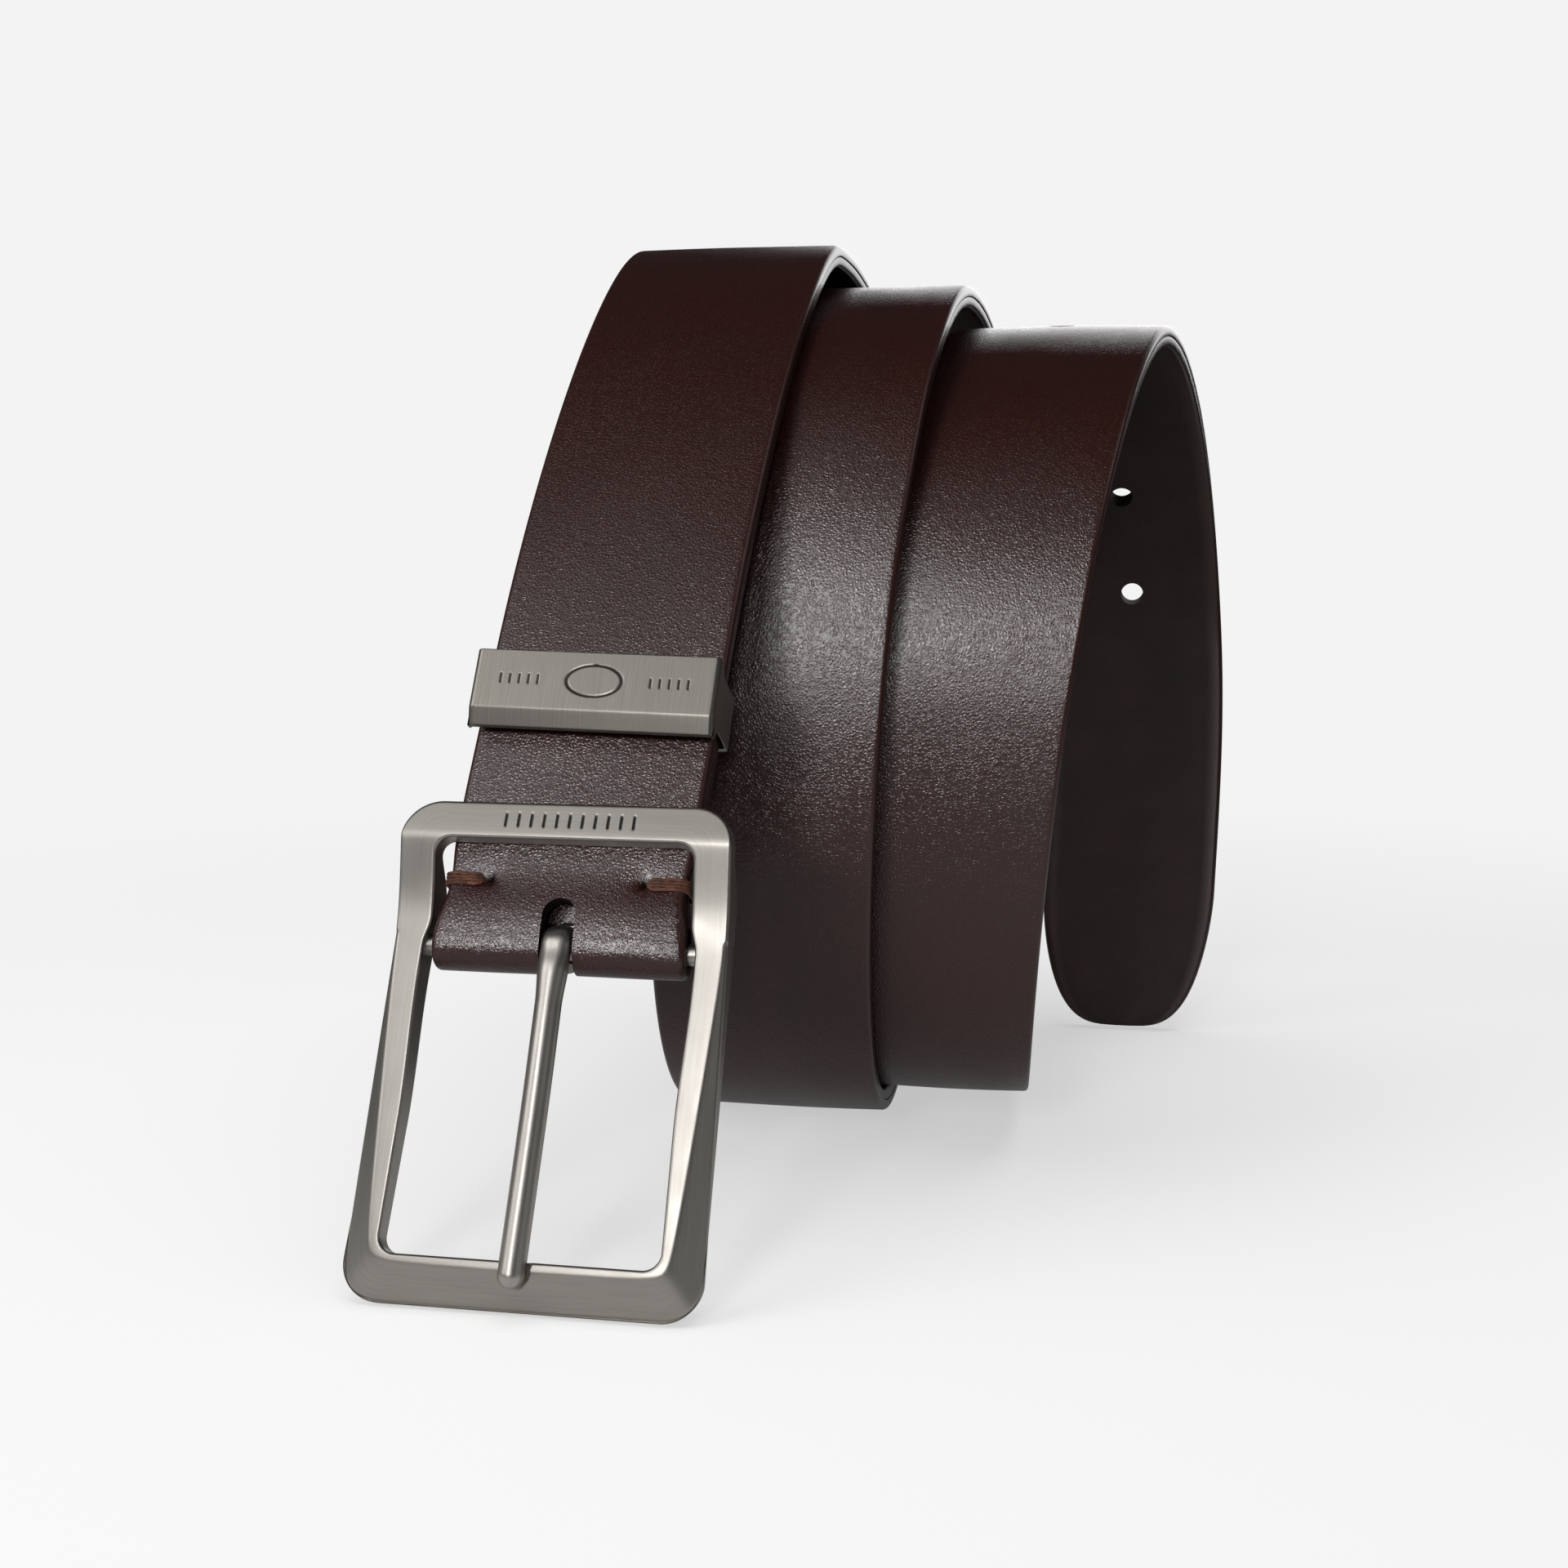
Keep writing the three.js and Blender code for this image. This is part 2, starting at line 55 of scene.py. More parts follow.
def coil_route():
    """The middle line of the rolled strap, in the plane across its width, as finely spaced points.

    Stations stand where the strap runs straight up, back, down or forwards in each turn. Two
    stations that face the same way are joined by a line, and any other two by a cubic whose
    handles reach part of the way to the corner where their tangents meet. Returns distance
    along, place, way on, and the sideways drift and its slope, a cubic through each station.
    """
    run, out = head_axes()
    start = AXLE[1:] + 1.0 * out
    up, away, down, backward = (0, 1), (1, 0), (0, -1), (-1, 0)
    stops = [(start, run), (start + 46 * run, run)]
    for turn in range(3):
        if turn:
            stops.append(((-47.15 + 5.5 * turn, 70 + 5 * turn), up))
        stops.append(((11.35 + 5.5 * turn, 162 - 7.3 * turn), away))
        if turn < 2:
            foot = np.array([32.85 - 6 * turn, 2 + 5.8 * turn])
            stops.append(((103.85 - 6 * turn, 83.5 - 5.5 * turn), down))
            stops.append((foot + (12, 0), backward))
            stops.append((foot - (12, 0), backward))
    stops.append(((89.35, 86), down))
    stops.append(((81.85, 0.6), (-math.sin(0.12), -math.cos(0.12))))
    drift = np.array([-38, -35.8, -29.2, -24, -20.2, -19.2, -14.4, -5.2, 1.4, 5.6, 7, 15.5, 31.3,
                      44.2, 43.2])
    t = np.linspace(0, 1, 241)[:, None]
    place, knots, last = [np.array([start])], [0.0], len(stops) - 2
    for k in range(len(stops) - 1):
        (a, way_a), (b, way_b) = [tuple(map(np.asarray, stop)) for stop in stops[k:k + 2]]
        turned = way_a[0] * way_b[1] - way_a[1] * way_b[0]
        if abs(turned) < 0.01:
            line = a + (b - a) * t
        else:
            if k == last:
                reach = 0.35 * np.hypot(*(b - a))
                first, second = a + reach * way_a, b - reach * way_b
            else:
                between = b - a
                corner = a + way_a * (between[0] * way_b[1] - between[1] * way_b[0]) / turned
                low = way_b[0] == -1 or way_a[0] == -1
                fullness = 0.66 if low else 0.56
                first, second = a + fullness * (corner - a), b + fullness * (corner - b)
            line = ((1 - t) ** 3 * a + 3 * (1 - t) ** 2 * t * first
                    + 3 * (1 - t) * t ** 2 * second + t ** 3 * b)
        place.append(line[1:])
        knots.append(knots[-1] + np.hypot(*np.diff(line, axis=0).T).sum())
    place = np.concatenate(place)
    along = np.concatenate([[0], np.cumsum(np.hypot(*np.diff(place, axis=0).T))])
    way = np.gradient(place, along, axis=0)
    knots = np.array(knots)
    slope = np.zeros(len(drift))
    slope[1:-1] = (drift[2:] - drift[:-2]) / (knots[2:] - knots[:-2])
    k = np.clip(np.searchsorted(knots, along) - 1, 0, len(knots) - 2)
    span = knots[k + 1] - knots[k]
    t = np.clip((along - knots[k]) / span, 0, 1)
    x = ((2 * t ** 3 - 3 * t ** 2 + 1) * drift[k] + (t ** 3 - 2 * t ** 2 + t) * span * slope[k]
         + (3 * t ** 2 - 2 * t ** 3) * drift[k + 1] + (t ** 3 - t ** 2) * span * slope[k + 1])
    return along, place, way, x, np.gradient(x, along)


def head_axes():
    """The way on and the way out of the strap's straight head, in the plane across its width."""
    c, s = math.cos(HEAD_ANGLE), math.sin(HEAD_ANGLE)
    return np.array([c, s]), np.array([-s, c])


ROUTE = coil_route()
STRAP_LENGTH = ROUTE[0][-1]


def on_route(s):
    """Place, way out, sideways place and sideways stretch of the strap at distances along it."""
    along, place, way, x, rise = ROUTE
    at = np.stack([np.interp(s, along, place[:, i]) for i in (0, 1)], axis=-1)
    on = np.stack([np.interp(s, along, way[:, i]) for i in (0, 1)], axis=-1)
    on /= np.linalg.norm(on, axis=-1, keepdims=True)
    out = np.stack([-on[:, 1], on[:, 0]], axis=-1)
    return at, out, np.interp(s, along, x), np.hypot(1, np.interp(s, along, rise))


def half_width(s):
    """Half the strap's width: full, then a blunt rounded tip from a power law over the last 30 mm."""
    left = np.clip(1 - (STRAP_LENGTH - s) / TIP_TAPER, 0, 1)
    return np.maximum(2.5, STRAP_WIDTH / 2 * (1 - left ** 1.6) ** (1 / 3.7))


def strap_profile(outer_round, inner_round, across):
    """Outline of the strap's section, once round: share of the width, corner offset, and height.

    The outer side is a flat row with two quarter circles of the outer radius, the inner side the
    same with the inner radius. Height runs from 1 on the outer side to 0 on the inner side, with
    its own offset in millimetres at the corners. The last column says how far it is painted edge.
    """
    flat = np.linspace(-1, 1, across)
    bend = np.linspace(0, math.pi / 2, 7)
    rows = [np.stack([flat, 0 * flat, 0 * flat + 1, 0 * flat, 0 * flat, 0 * flat + outer_round], 1)]
    o, i = outer_round, inner_round
    s, c = np.sin(bend[1:]), np.cos(bend[1:])
    one = 0 * s + 1
    rows.append(np.stack([one, o * s, one, o * (c - 1), np.minimum(1, 1.3 * s), o * one], 1))
    rows.append(np.stack([one, i * c, 0 * s, i * (1 - s), one, i * one], 1))
    back = np.linspace(1, -1, 15)[1:-1]
    rows.append(np.stack([back, 0 * back, 0 * back, 0 * back, 0 * back, 0 * back + i], 1))
    rows.append(np.stack([-one, -i * s, 0 * s, i * (1 - c), one, i * one], 1))
    rows.append(np.stack([-one, -o * c, one, o * (s - 1), np.minimum(1, 1.3 * c), o * one], 1)[:-1])
    return np.concatenate(rows)


def ribbon(at, out, x, half, outer, inner, profile):
    """The section profile carried along the strap: one row of points for each place along it.

    A point stands at the middle line, plus its share of the half width across, plus its height
    between the inner and outer sides along the way out.
    """
    share, side, level, rise, edge, corner = profile.T
    across = share * np.maximum(half[:, None] - corner, 0.3) + side
    height = inner[:, None] + level * (outer - inner)[:, None] + rise
    points = np.empty(across.shape + (3,))
    points[..., 0] = x[:, None] + across
    points[..., 1:] = at[:, None] + height[..., None] * out[:, None]
    return points


def solid(name, points, material, wrap=False, flat_uv=None, marks=None, sharp=40):
    """A closed mesh from a grid of points in millimetres, each row of it a ring.

    Rows are joined to the next one all round. The first and last rows are closed by one face
    each, or joined to each other when the grid wraps. Faces are turned if the volume comes out
    negative. The UV map comes in millimetres and has one more column, and row when the grid wraps,
    than the points, for its seams.
    """
    rows, ring = points.shape[:2]
    i = np.arange(rows if wrap else rows - 1)[:, None]
    j = np.arange(ring)
    a, b = i * ring + j, i * ring + (j + 1) % ring
    c, d = (i + 1) % rows * ring + (j + 1) % ring, (i + 1) % rows * ring + j
    quads = np.stack([a, b, c, d], -1).reshape(-1, 4)
    p = points.reshape(-1, 3) * 0.001
    volume = np.einsum("ij,ij->", p[quads[:, 0]], np.cross(p[quads[:, 1]], p[quads[:, 2]]))
    volume += np.einsum("ij,ij->", p[quads[:, 0]], np.cross(p[quads[:, 2]], p[quads[:, 3]]))
    flip = volume < 0
    faces = (quads[:, ::-1] if flip else quads).tolist()
    if not wrap:
        ends = [list(range(ring))[::-1], list(range((rows - 1) * ring, rows * ring))]
        faces += [end[::-1] for end in ends] if flip else ends
    mesh = bpy.data.meshes.new(name)
    mesh.from_pydata(p.tolist(), [], faces)
    if flat_uv is not None:
        k, m = i + 0 * j, j + 0 * i
        corners = np.stack([flat_uv[k, m], flat_uv[k, m + 1], flat_uv[k + 1, m + 1], flat_uv[k + 1, m]], 2)
        corners = corners.reshape(-1, 4, 2)
        corners = corners[:, ::-1] if flip else corners
        layer = mesh.uv_layers.new(name="UVMap")
        values = np.zeros((len(mesh.loops), 2))
        values[:corners.shape[0] * 4] = corners.reshape(-1, 2) * 0.001
        layer.uv.foreach_set("vector", values.ravel().astype(np.float32))
    for label, values in (marks or {}).items():
        layer = mesh.attributes.new(label, "FLOAT", "POINT")
        layer.data.foreach_set("value", values.ravel().astype(np.float32))
    mesh.materials.append(material)
    mesh.shade_smooth()
    mesh.set_sharp_from_angle(angle=math.radians(sharp))
    piece = bpy.data.objects.new(name, mesh)
    bpy.context.scene.collection.objects.link(piece)
    return piece


def cut_away(piece, tools, material):
    """Cuts closed tools out of a piece for good; the cut walls take the given material."""
    piece.data.materials.append(material)
    for tool in tools:
        tool.data.materials.clear()
        tool.data.materials.append(material)
        change = piece.modifiers.new("cut", "BOOLEAN")
        change.object, change.operation, change.solver = tool, "DIFFERENCE", "EXACT"
        change.material_mode = "TRANSFER"
    bpy.context.view_layer.update()
    made = bpy.data.meshes.new_from_object(piece.evaluated_get(bpy.context.evaluated_depsgraph_get()))
    piece.modifiers.clear()
    piece.data = made
    made.set_sharp_from_angle(angle=math.radians(40))
    for tool in tools:
        bpy.data.objects.remove(tool)


def stadium(name, width, low, high, near, far, frame_of):
    """A round-ended bar for cutting slots and holes: its outline in one plane, pushed along the normal."""
    turn = np.linspace(0, math.pi, 21)
    x = np.concatenate([width / 2 * np.cos(turn), -width / 2 * np.cos(turn)])
    y = np.concatenate([high + width / 2 * np.sin(turn), low - width / 2 * np.sin(turn)])
    origin, across, along, out = frame_of
    ring = origin + x[:, None] * across + y[:, None] * along
    return solid(name, np.stack([ring + near * out, ring + far * out]), None)


def add(tree, kind, inputs=None, **settings):
    """Adds a shader node: settings are its properties, inputs its sockets' values or links."""
    made = tree.nodes.new("ShaderNode" + kind)
    for name, value in settings.items():
        setattr(made, name, value)
    for key, value in (inputs or {}).items():
        if isinstance(value, bpy.types.NodeSocket):
            tree.links.new(value, made.inputs[key])
        else:
            made.inputs[key].default_value = value
    return made


def colour(code):
    """An sRGB hex colour as linear light."""
    parts = [int(code[i:i + 2], 16) / 255 for i in (1, 3, 5)]
    return tuple(v / 12.92 if v < 0.04045 else ((v + 0.055) / 1.055) ** 2.4 for v in parts) + (1.0,)


def new_finish(name):
    """An empty material with its output node."""
    material = bpy.data.materials.new(name)
    material.use_nodes = True
    material.node_tree.nodes.clear()
    return material, material.node_tree, add(material.node_tree, "OutputMaterial")


def lining_finish():
    """Split leather with a brushed-down nap, dyed dark brown.

    It is dull, with fibres about 0.5 mm long that lighten it in soft streaks. The painted edge
    is smooth and half glossy.
    """
    material, tree, output = new_finish("dyed_split_leather")
    place = add(tree, "UVMap", uv_map="UVMap").outputs[0]
    edge = add(tree, "Attribute", attribute_name="edge").outputs["Fac"]
    nap = add(tree, "TexNoise", {"Vector": place, "Scale": 1600, "Detail": 5, "Roughness": 0.7})
    cloud = add(tree, "TexNoise", {"Vector": place, "Scale": 90, "Detail": 3})
    tone = add(tree, "Math", {0: nap.outputs[0], 1: cloud.outputs[0]}, operation="MULTIPLY")
    tint = add(tree, "MapRange", {0: tone.outputs[0], 1: 0.12, 2: 0.42})
    dyed = add(tree, "Mix", {0: tint.outputs[0], 6: colour("#150807"), 7: colour("#26100e")},
               data_type="RGBA")
    paint = add(tree, "Mix", {0: edge, 6: dyed.outputs[2], 7: colour("#2a1a16")}, data_type="RGBA")
    rough = add(tree, "MapRange", {0: edge, 3: 0.62, 4: 0.34})
    calm = add(tree, "MapRange", {0: edge, 3: 1.0, 4: 0.12})
    bump = add(tree, "Bump", {"Strength": calm.outputs[0], "Distance": 0.00016, "Height": nap.outputs[0]})
    skin = add(tree, "BsdfPrincipled", {
        "Base Color": paint.outputs[2], "Roughness": rough.outputs[0], "Specular IOR Level": 0.35,
        "Normal": bump.outputs[0]})
    tree.links.new(skin.outputs[0], output.inputs[0])
    return material


def raw_cut_finish():
    """The cut wall of a punched hole or slot: bare fibre stained almost black, dull and rough."""
    material, tree, output = new_finish("stained_cut_leather")
    place = add(tree, "TexCoord").outputs["Object"]
    fibre = add(tree, "TexNoise", {"Vector": place, "Scale": 2500, "Detail": 4})
    tone = add(tree, "Mix", {0: fibre.outputs[0], 6: colour("#0b0605"), 7: colour("#1c0f0b")},
               data_type="RGBA")
    bump = add(tree, "Bump", {"Distance": 0.0001, "Height": fibre.outputs[0]})
    skin = add(tree, "BsdfPrincipled", {
        "Base Color": tone.outputs[2], "Roughness": 0.7, "Specular IOR Level": 0.1,
        "Normal": bump.outputs[0]})
    tree.links.new(skin.outputs[0], output.inputs[0])
    return material


def tail_distances(start):
    """Places along the strap from a start to its tip: even steps, then finer ones round the tip."""
    tip = np.array([30, 28, 26, 24, 22, 20, 18, 16, 14, 12, 10, 8.4, 7, 5.8, 4.8, 3.9, 3.1, 2.4, 1.8, 1.3,
                    0.9, 0.6, 0.35, 0.16, 0.0])
    body = np.linspace(start, STRAP_LENGTH - 32, round((STRAP_LENGTH - 32 - start) / 1.45))
    return np.concatenate([body, STRAP_LENGTH - tip])


def tip_round(s, radius):
    """How far the strap's side falls as it rolls over the last of the tip, a quarter circle."""
    short = np.clip(1 - (STRAP_LENGTH - s) / radius, 0, 1)
    return radius * (1 - np.sqrt(1 - short ** 2))


def ring_uv(points, s):
    """UV in millimetres: distance round the section across, and distance along the strap."""
    closed = np.concatenate([points, points[:, :1]], axis=1)
    girth = np.linalg.norm(np.diff(closed[len(closed) // 2], axis=0), axis=1)
    across = np.concatenate([[0], np.cumsum(girth)])
    return np.stack(np.broadcast_arrays(across[None], s[:, None]), -1)


def hole_punches(name):
    """Five round punches square to the strap, 24 mm apart, the first 98 mm from the tip."""
    punches = []
    across = np.array([1, 0, 0])
    for k in range(HOLE_COUNT):
        at, out, x, _ = on_route(np.array([STRAP_LENGTH - FIRST_HOLE - HOLE_PITCH * k]))
        normal = np.array([0, *out[0]])
        onward = np.array([0, out[0][1], -out[0][0]])
        middle = np.array([x[0], *at[0]])
        place = (middle, across, onward, normal)
        punches.append(stadium(f"{name}_{k}", HOLE_DIAMETER, 0, 0, -2.5, 2.5, place))
    return punches


def slot_tools(name):
    """The slot for the prong: 5.2 mm wide, 7 mm up the face and 4.8 mm up behind, round ended."""
    run, out = head_axes()
    place = (AXLE, np.array([1, 0, 0]), np.array([0, *run]), np.array([0, *out]))
    end = SLOT_WIDTH / 2
    return [stadium(name + "_front", SLOT_WIDTH, -9, SLOT_FRONT - end, -0.5, 9, place),
            stadium(name + "_back", SLOT_WIDTH, -9, SLOT_BACK - end, -9, 0, place)]


s = tail_distances(LINING_START)
at, out, x, stretch = on_route(s)
fall = tip_round(s, 0.8)
profile = strap_profile(0.12, 0.8, 25)
profile[:, 1] *= 0.96
points = ribbon(at, out, x, (half_width(s) - 0.12) * stretch,
                LINING_SIDES[0] + 0 * s, LINING_SIDES[1] + fall, profile)
edge = np.broadcast_to(profile[:, 4], points.shape[:2])
raw_cut = raw_cut_finish()
lining = solid("strap_lining_skin", points, lining_finish(), flat_uv=ring_uv(points, s),
               marks={"edge": edge})
cut_away(lining, hole_punches("lining_punch"), raw_cut)
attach(lining, "strap")
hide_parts("strap_lining")

# ---- Strap face ------------------------------------------------------------------------------
# The outer half of the strap: full-grain cowhide with a pebbled grain, dyed dark brown and waxed.
# At the head it is folded round the buckle's axle, and its end is turned back as a 44 mm leaf
# behind the lining. The fold stands a little wider and fuller than the flat strap.

FACE_SIDES = (2.0, 0.06)
LEAF_SIDES = (-2.1, -4.0)
LEAF_LENGTH = 44.0
FOLD_RADIUS = 3.75
FOLD_BULGE, FOLD_BLEND = 0.75, 12.0
BARTACK_AT = 9.8
PRICKED_AT = 12.7


def grain_finish():
    """Full-grain cowhide, pebbled, dyed and waxed; painted shade, near black, in the stitch holes and the
    fold.

    The pebbles are 0.4 to 0.7 mm across with fine creases between them; wax lies thin on their
    tops, and its shine is a painted sheen: the tops are painted lighter than the creases. Broad
    clouds in the dye are about 15 mm across.
    """
    material, tree, output = new_finish("waxed_pebbled_cowhide")
    place = add(tree, "UVMap", uv_map="UVMap").outputs[0]
    edge = add(tree, "Attribute", attribute_name="edge").outputs["Fac"]
    # Painted shade mask: the bartacks' stitch holes and the inside of the fold.
    painted_shade = add(tree, "Attribute", attribute_name="painted_shade").outputs["Fac"]
    sway = add(tree, "TexNoise", {"Vector": place, "Scale": 700, "Detail": 2})
    wander = add(tree, "VectorMath", {0: sway.outputs["Color"], 1: (0.0006, 0.0006, 0.0), 2: place},
                 operation="MULTIPLY_ADD")
    pebble = add(tree, "TexVoronoi", {"Vector": wander.outputs[0], "Scale": 1800},
                 feature="DISTANCE_TO_EDGE")
    speck = add(tree, "TexVoronoi", {"Vector": wander.outputs[0], "Scale": 4200},
                feature="DISTANCE_TO_EDGE")
    top = add(tree, "MapRange", {0: pebble.outputs["Distance"], 1: 0.0, 2: 0.36},
              interpolation_type="SMOOTHSTEP")
    small = add(tree, "MapRange", {0: speck.outputs["Distance"], 1: 0.0, 2: 0.4})
    relief = add(tree, "Math", {0: small.outputs[0], 1: 0.3, 2: top.outputs[0]}, operation="MULTIPLY_ADD")
    cloud = add(tree, "TexNoise", {"Vector": place, "Scale": 65, "Detail": 4, "Roughness": 0.6})
    dye = add(tree, "Mix", {0: cloud.outputs[0], 6: colour("#1e0a08"), 7: colour("#31150f")},
              data_type="RGBA")
    # Painted sheen and shade: the pebble tops are painted lighter than the creases between them.
    painted_sheen_share = add(tree, "MapRange", {0: top.outputs[0], 3: 0.35, 4: 1.0})
    hide_with_painted_sheen = add(tree, "Mix", {0: painted_sheen_share.outputs[0], 6: colour("#1a0807"), 7: dye.outputs[2]},
               data_type="RGBA")
    paint = add(tree, "Mix", {0: edge, 6: hide_with_painted_sheen.outputs[2], 7: colour("#2a1512")}, data_type="RGBA")
    wax = add(tree, "MapRange", {0: cloud.outputs[0], 1: 0.3, 2: 0.7, 3: 0.34, 4: 0.27})
    rough = add(tree, "Mix", {0: edge, 2: wax.outputs[0], 3: 0.32})
    calm = add(tree, "MapRange", {0: edge, 3: 1.0, 4: 0.05})
    bump = add(tree, "Bump", {
        "Strength": calm.outputs[0], "Distance": 0.000036, "Height": relief.outputs[0]})
    # Painted shade: near black and without specular shine in the stitch holes and inside the fold.
    painted_shade_colour = add(tree, "Mix", {0: painted_shade, 6: paint.outputs[2], 7: colour("#0c0404")}, data_type="RGBA")
    shine = add(tree, "MapRange", {0: painted_shade, 3: 0.5, 4: 0.0})
    skin = add(tree, "BsdfPrincipled", {
        "Base Color": painted_shade_colour.outputs[2], "Roughness": rough.outputs[0],
        "Specular IOR Level": shine.outputs[0], "Normal": bump.outputs[0]})
    tree.links.new(skin.outputs[0], output.inputs[0])
    return material


def ease(t):
    """A smooth step from 0 to 1."""
    t = np.clip(t, 0, 1)
    return t * t * (3 - 2 * t)


def head_flare(s):
    """How much wider the strap is: spread by the fold at the axle, drawn in where it is sewn."""
    return 0.6 * (1 - ease((s - 0.5) / 8)) - 0.55 * np.exp(-((s - BARTACK_AT) / 4.5) ** 2)


def strap_face_grid():
    """The leaf, the fold and the face as one run of sections, from the leaf's end to the tip.

    In the leaf the way out is turned round, so that its grain side faces back. In the fold the
    sections stand on a half circle about the axle.
    """
    head = np.arange(0, 24, 0.6)
    leaf_s = np.concatenate([head, np.linspace(24, LEAF_LENGTH, 12)])[::-1]
    face_s = np.concatenate([head, tail_distances(24.0)])
    angle = HEAD_ANGLE - math.pi / 2 - np.linspace(0, math.pi, 26)[1:-1]
    turn = np.stack([np.cos(angle), np.sin(angle)], -1)
    thick = FACE_SIDES[0] - FACE_SIDES[1]
    bulge_leaf, bulge_face = [FOLD_BULGE * (1 - ease(d / FOLD_BLEND)) for d in (leaf_s, face_s)]
    at_leaf, out_leaf, x_leaf, st_leaf = on_route(leaf_s)
    at_face, out_face, x_face, st_face = on_route(face_s)
    fall = tip_round(face_s, 0.85)
    flare_leaf, flare_face = head_flare(leaf_s), head_flare(face_s)
    at = np.concatenate([at_leaf, AXLE[1:] + 0 * turn, at_face])
    out = np.concatenate([-out_leaf, turn, out_face])
    x = np.concatenate([x_leaf, x_face[0] + 0 * angle, x_face])
    half = np.concatenate([(STRAP_WIDTH / 2 - 0.3 + flare_leaf) * st_leaf,
                           STRAP_WIDTH / 2 + head_flare(0) + 0 * angle,
                           (half_width(face_s) + flare_face) * st_face])
    outer = np.concatenate([-LEAF_SIDES[1] + bulge_leaf, FOLD_RADIUS + 0 * angle,
                            FACE_SIDES[0] + bulge_face - fall])
    inner = np.concatenate([-LEAF_SIDES[0] + bulge_leaf, FOLD_RADIUS - thick + 0 * angle,
                            FACE_SIDES[1] + bulge_face])
    round_fold = math.pi * FOLD_RADIUS
    s = np.concatenate([-leaf_s - round_fold, -FOLD_RADIUS * (angle - angle[-1] + math.pi / 25), face_s])
    return s + LEAF_LENGTH + round_fold, s, at, out, x, half, outer, inner


def soften(points, out, s, half, profile):
    """Moves the outer side a little along the way out, for the small unevenness of a used strap.

    A low crown across the width, two slow waves along it, shallow puckers where the bartacks
    pull the face down, a fuller swell above the axle, and faint cross creases on the fold.
    """
    share, level = profile[:, 0], profile[:, 2]
    outer = level * (1 - profile[:, 4])
    crown = 0.14 * (1 - share ** 2)
    wave = 0.06 * np.sin(s[:, None] / 13.0 + 2.2 * share) + 0.05 * np.sin(s[:, None] / 5.7 - 3.1 * share)
    across = share * half[:, None]
    pucker = 0
    for side in (-1, 1):
        far = np.hypot(across - side * PRICKED_AT, (s[:, None] - BARTACK_AT) * 1.1)
        pucker = pucker - 0.75 * np.exp(-(far / 0.85) ** 2) - 0.22 * np.exp(-(far / 2.6) ** 2)
        edge_pull = np.exp(-((np.abs(across) - 16) / 3.0) ** 2 - ((s[:, None] - BARTACK_AT) / 1.6) ** 2)
        pucker = pucker - 0.12 * edge_pull
    near = np.exp(-((s[:, None] + 1) / 5.0) ** 2)
    crease = 0.025 * near * np.sin(3.0 * s[:, None] + 0.8 * np.sin(across / 2.3))
    full = 0.5 * np.exp(-((s[:, None] - 4.5) / 4.5) ** 2)
    move = outer * (crown + wave + pucker + crease + full)
    points[..., 1:] += move[..., None] * out[:, None]
    return points


def painted_shade_in_holes_and_fold(s, half, profile):
    """Mask of painted shade: 1 in the two small holes that the bartacks come out of and inside the fold, else
    0.
    """
    across = profile[:, 0] * half[:, None]
    far = np.hypot(np.abs(across) - PRICKED_AT + 0.2, (s[:, None] - BARTACK_AT) * 0.8)
    hole = (1 - ease((far - 0.55) / 0.4)) * (profile[:, 2] > 0.5)
    return np.maximum(hole, (profile[:, 2] < 0.5) * (np.abs(s[:, None]) < 16))


along, s, at, out, x, half, outer, inner = strap_face_grid()
profile = strap_profile(0.85, 0.12, 49)
points = ribbon(at, out, x, half, outer, inner, profile)
points = soften(points, out, s, half, profile)
edge = np.broadcast_to(profile[:, 4], points.shape[:2])
# One mark carries the painted shade of the stitch holes and of the inside of the fold.
face = solid("strap_leather", points, grain_finish(), flat_uv=ring_uv(points, along),
             marks={"edge": edge, "painted_shade": painted_shade_in_holes_and_fold(s, half, profile)})
cut_away(face, hole_punches("face_punch") + slot_tools("face_slot"), raw_cut)
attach(face, "strap")
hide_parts("strap_face")

# ---- Axle ------------------------------------------------------------------------------------
# A plain round steel pin, 3.2 mm thick, that lies in the fold of the strap. It is pressed into
# the buckle's two rails and carries both the strap and the prong.

AXLE_RADIUS, AXLE_LENGTH, AXLE_CHAMFER = 1.6, 44.4, 0.3
STREAK_DEPTH = 0.0000035
BUCKLE_ANGLE = math.radians(65)
BUCKLE_ACROSS = np.array([1.0, 0.0, 0.0])
BUCKLE_DOWN = np.array([0, -math.cos(BUCKLE_ANGLE), -math.sin(BUCKLE_ANGLE)])
BUCKLE_OUT = np.array([0, -math.sin(BUCKLE_ANGLE), math.cos(BUCKLE_ANGLE)])


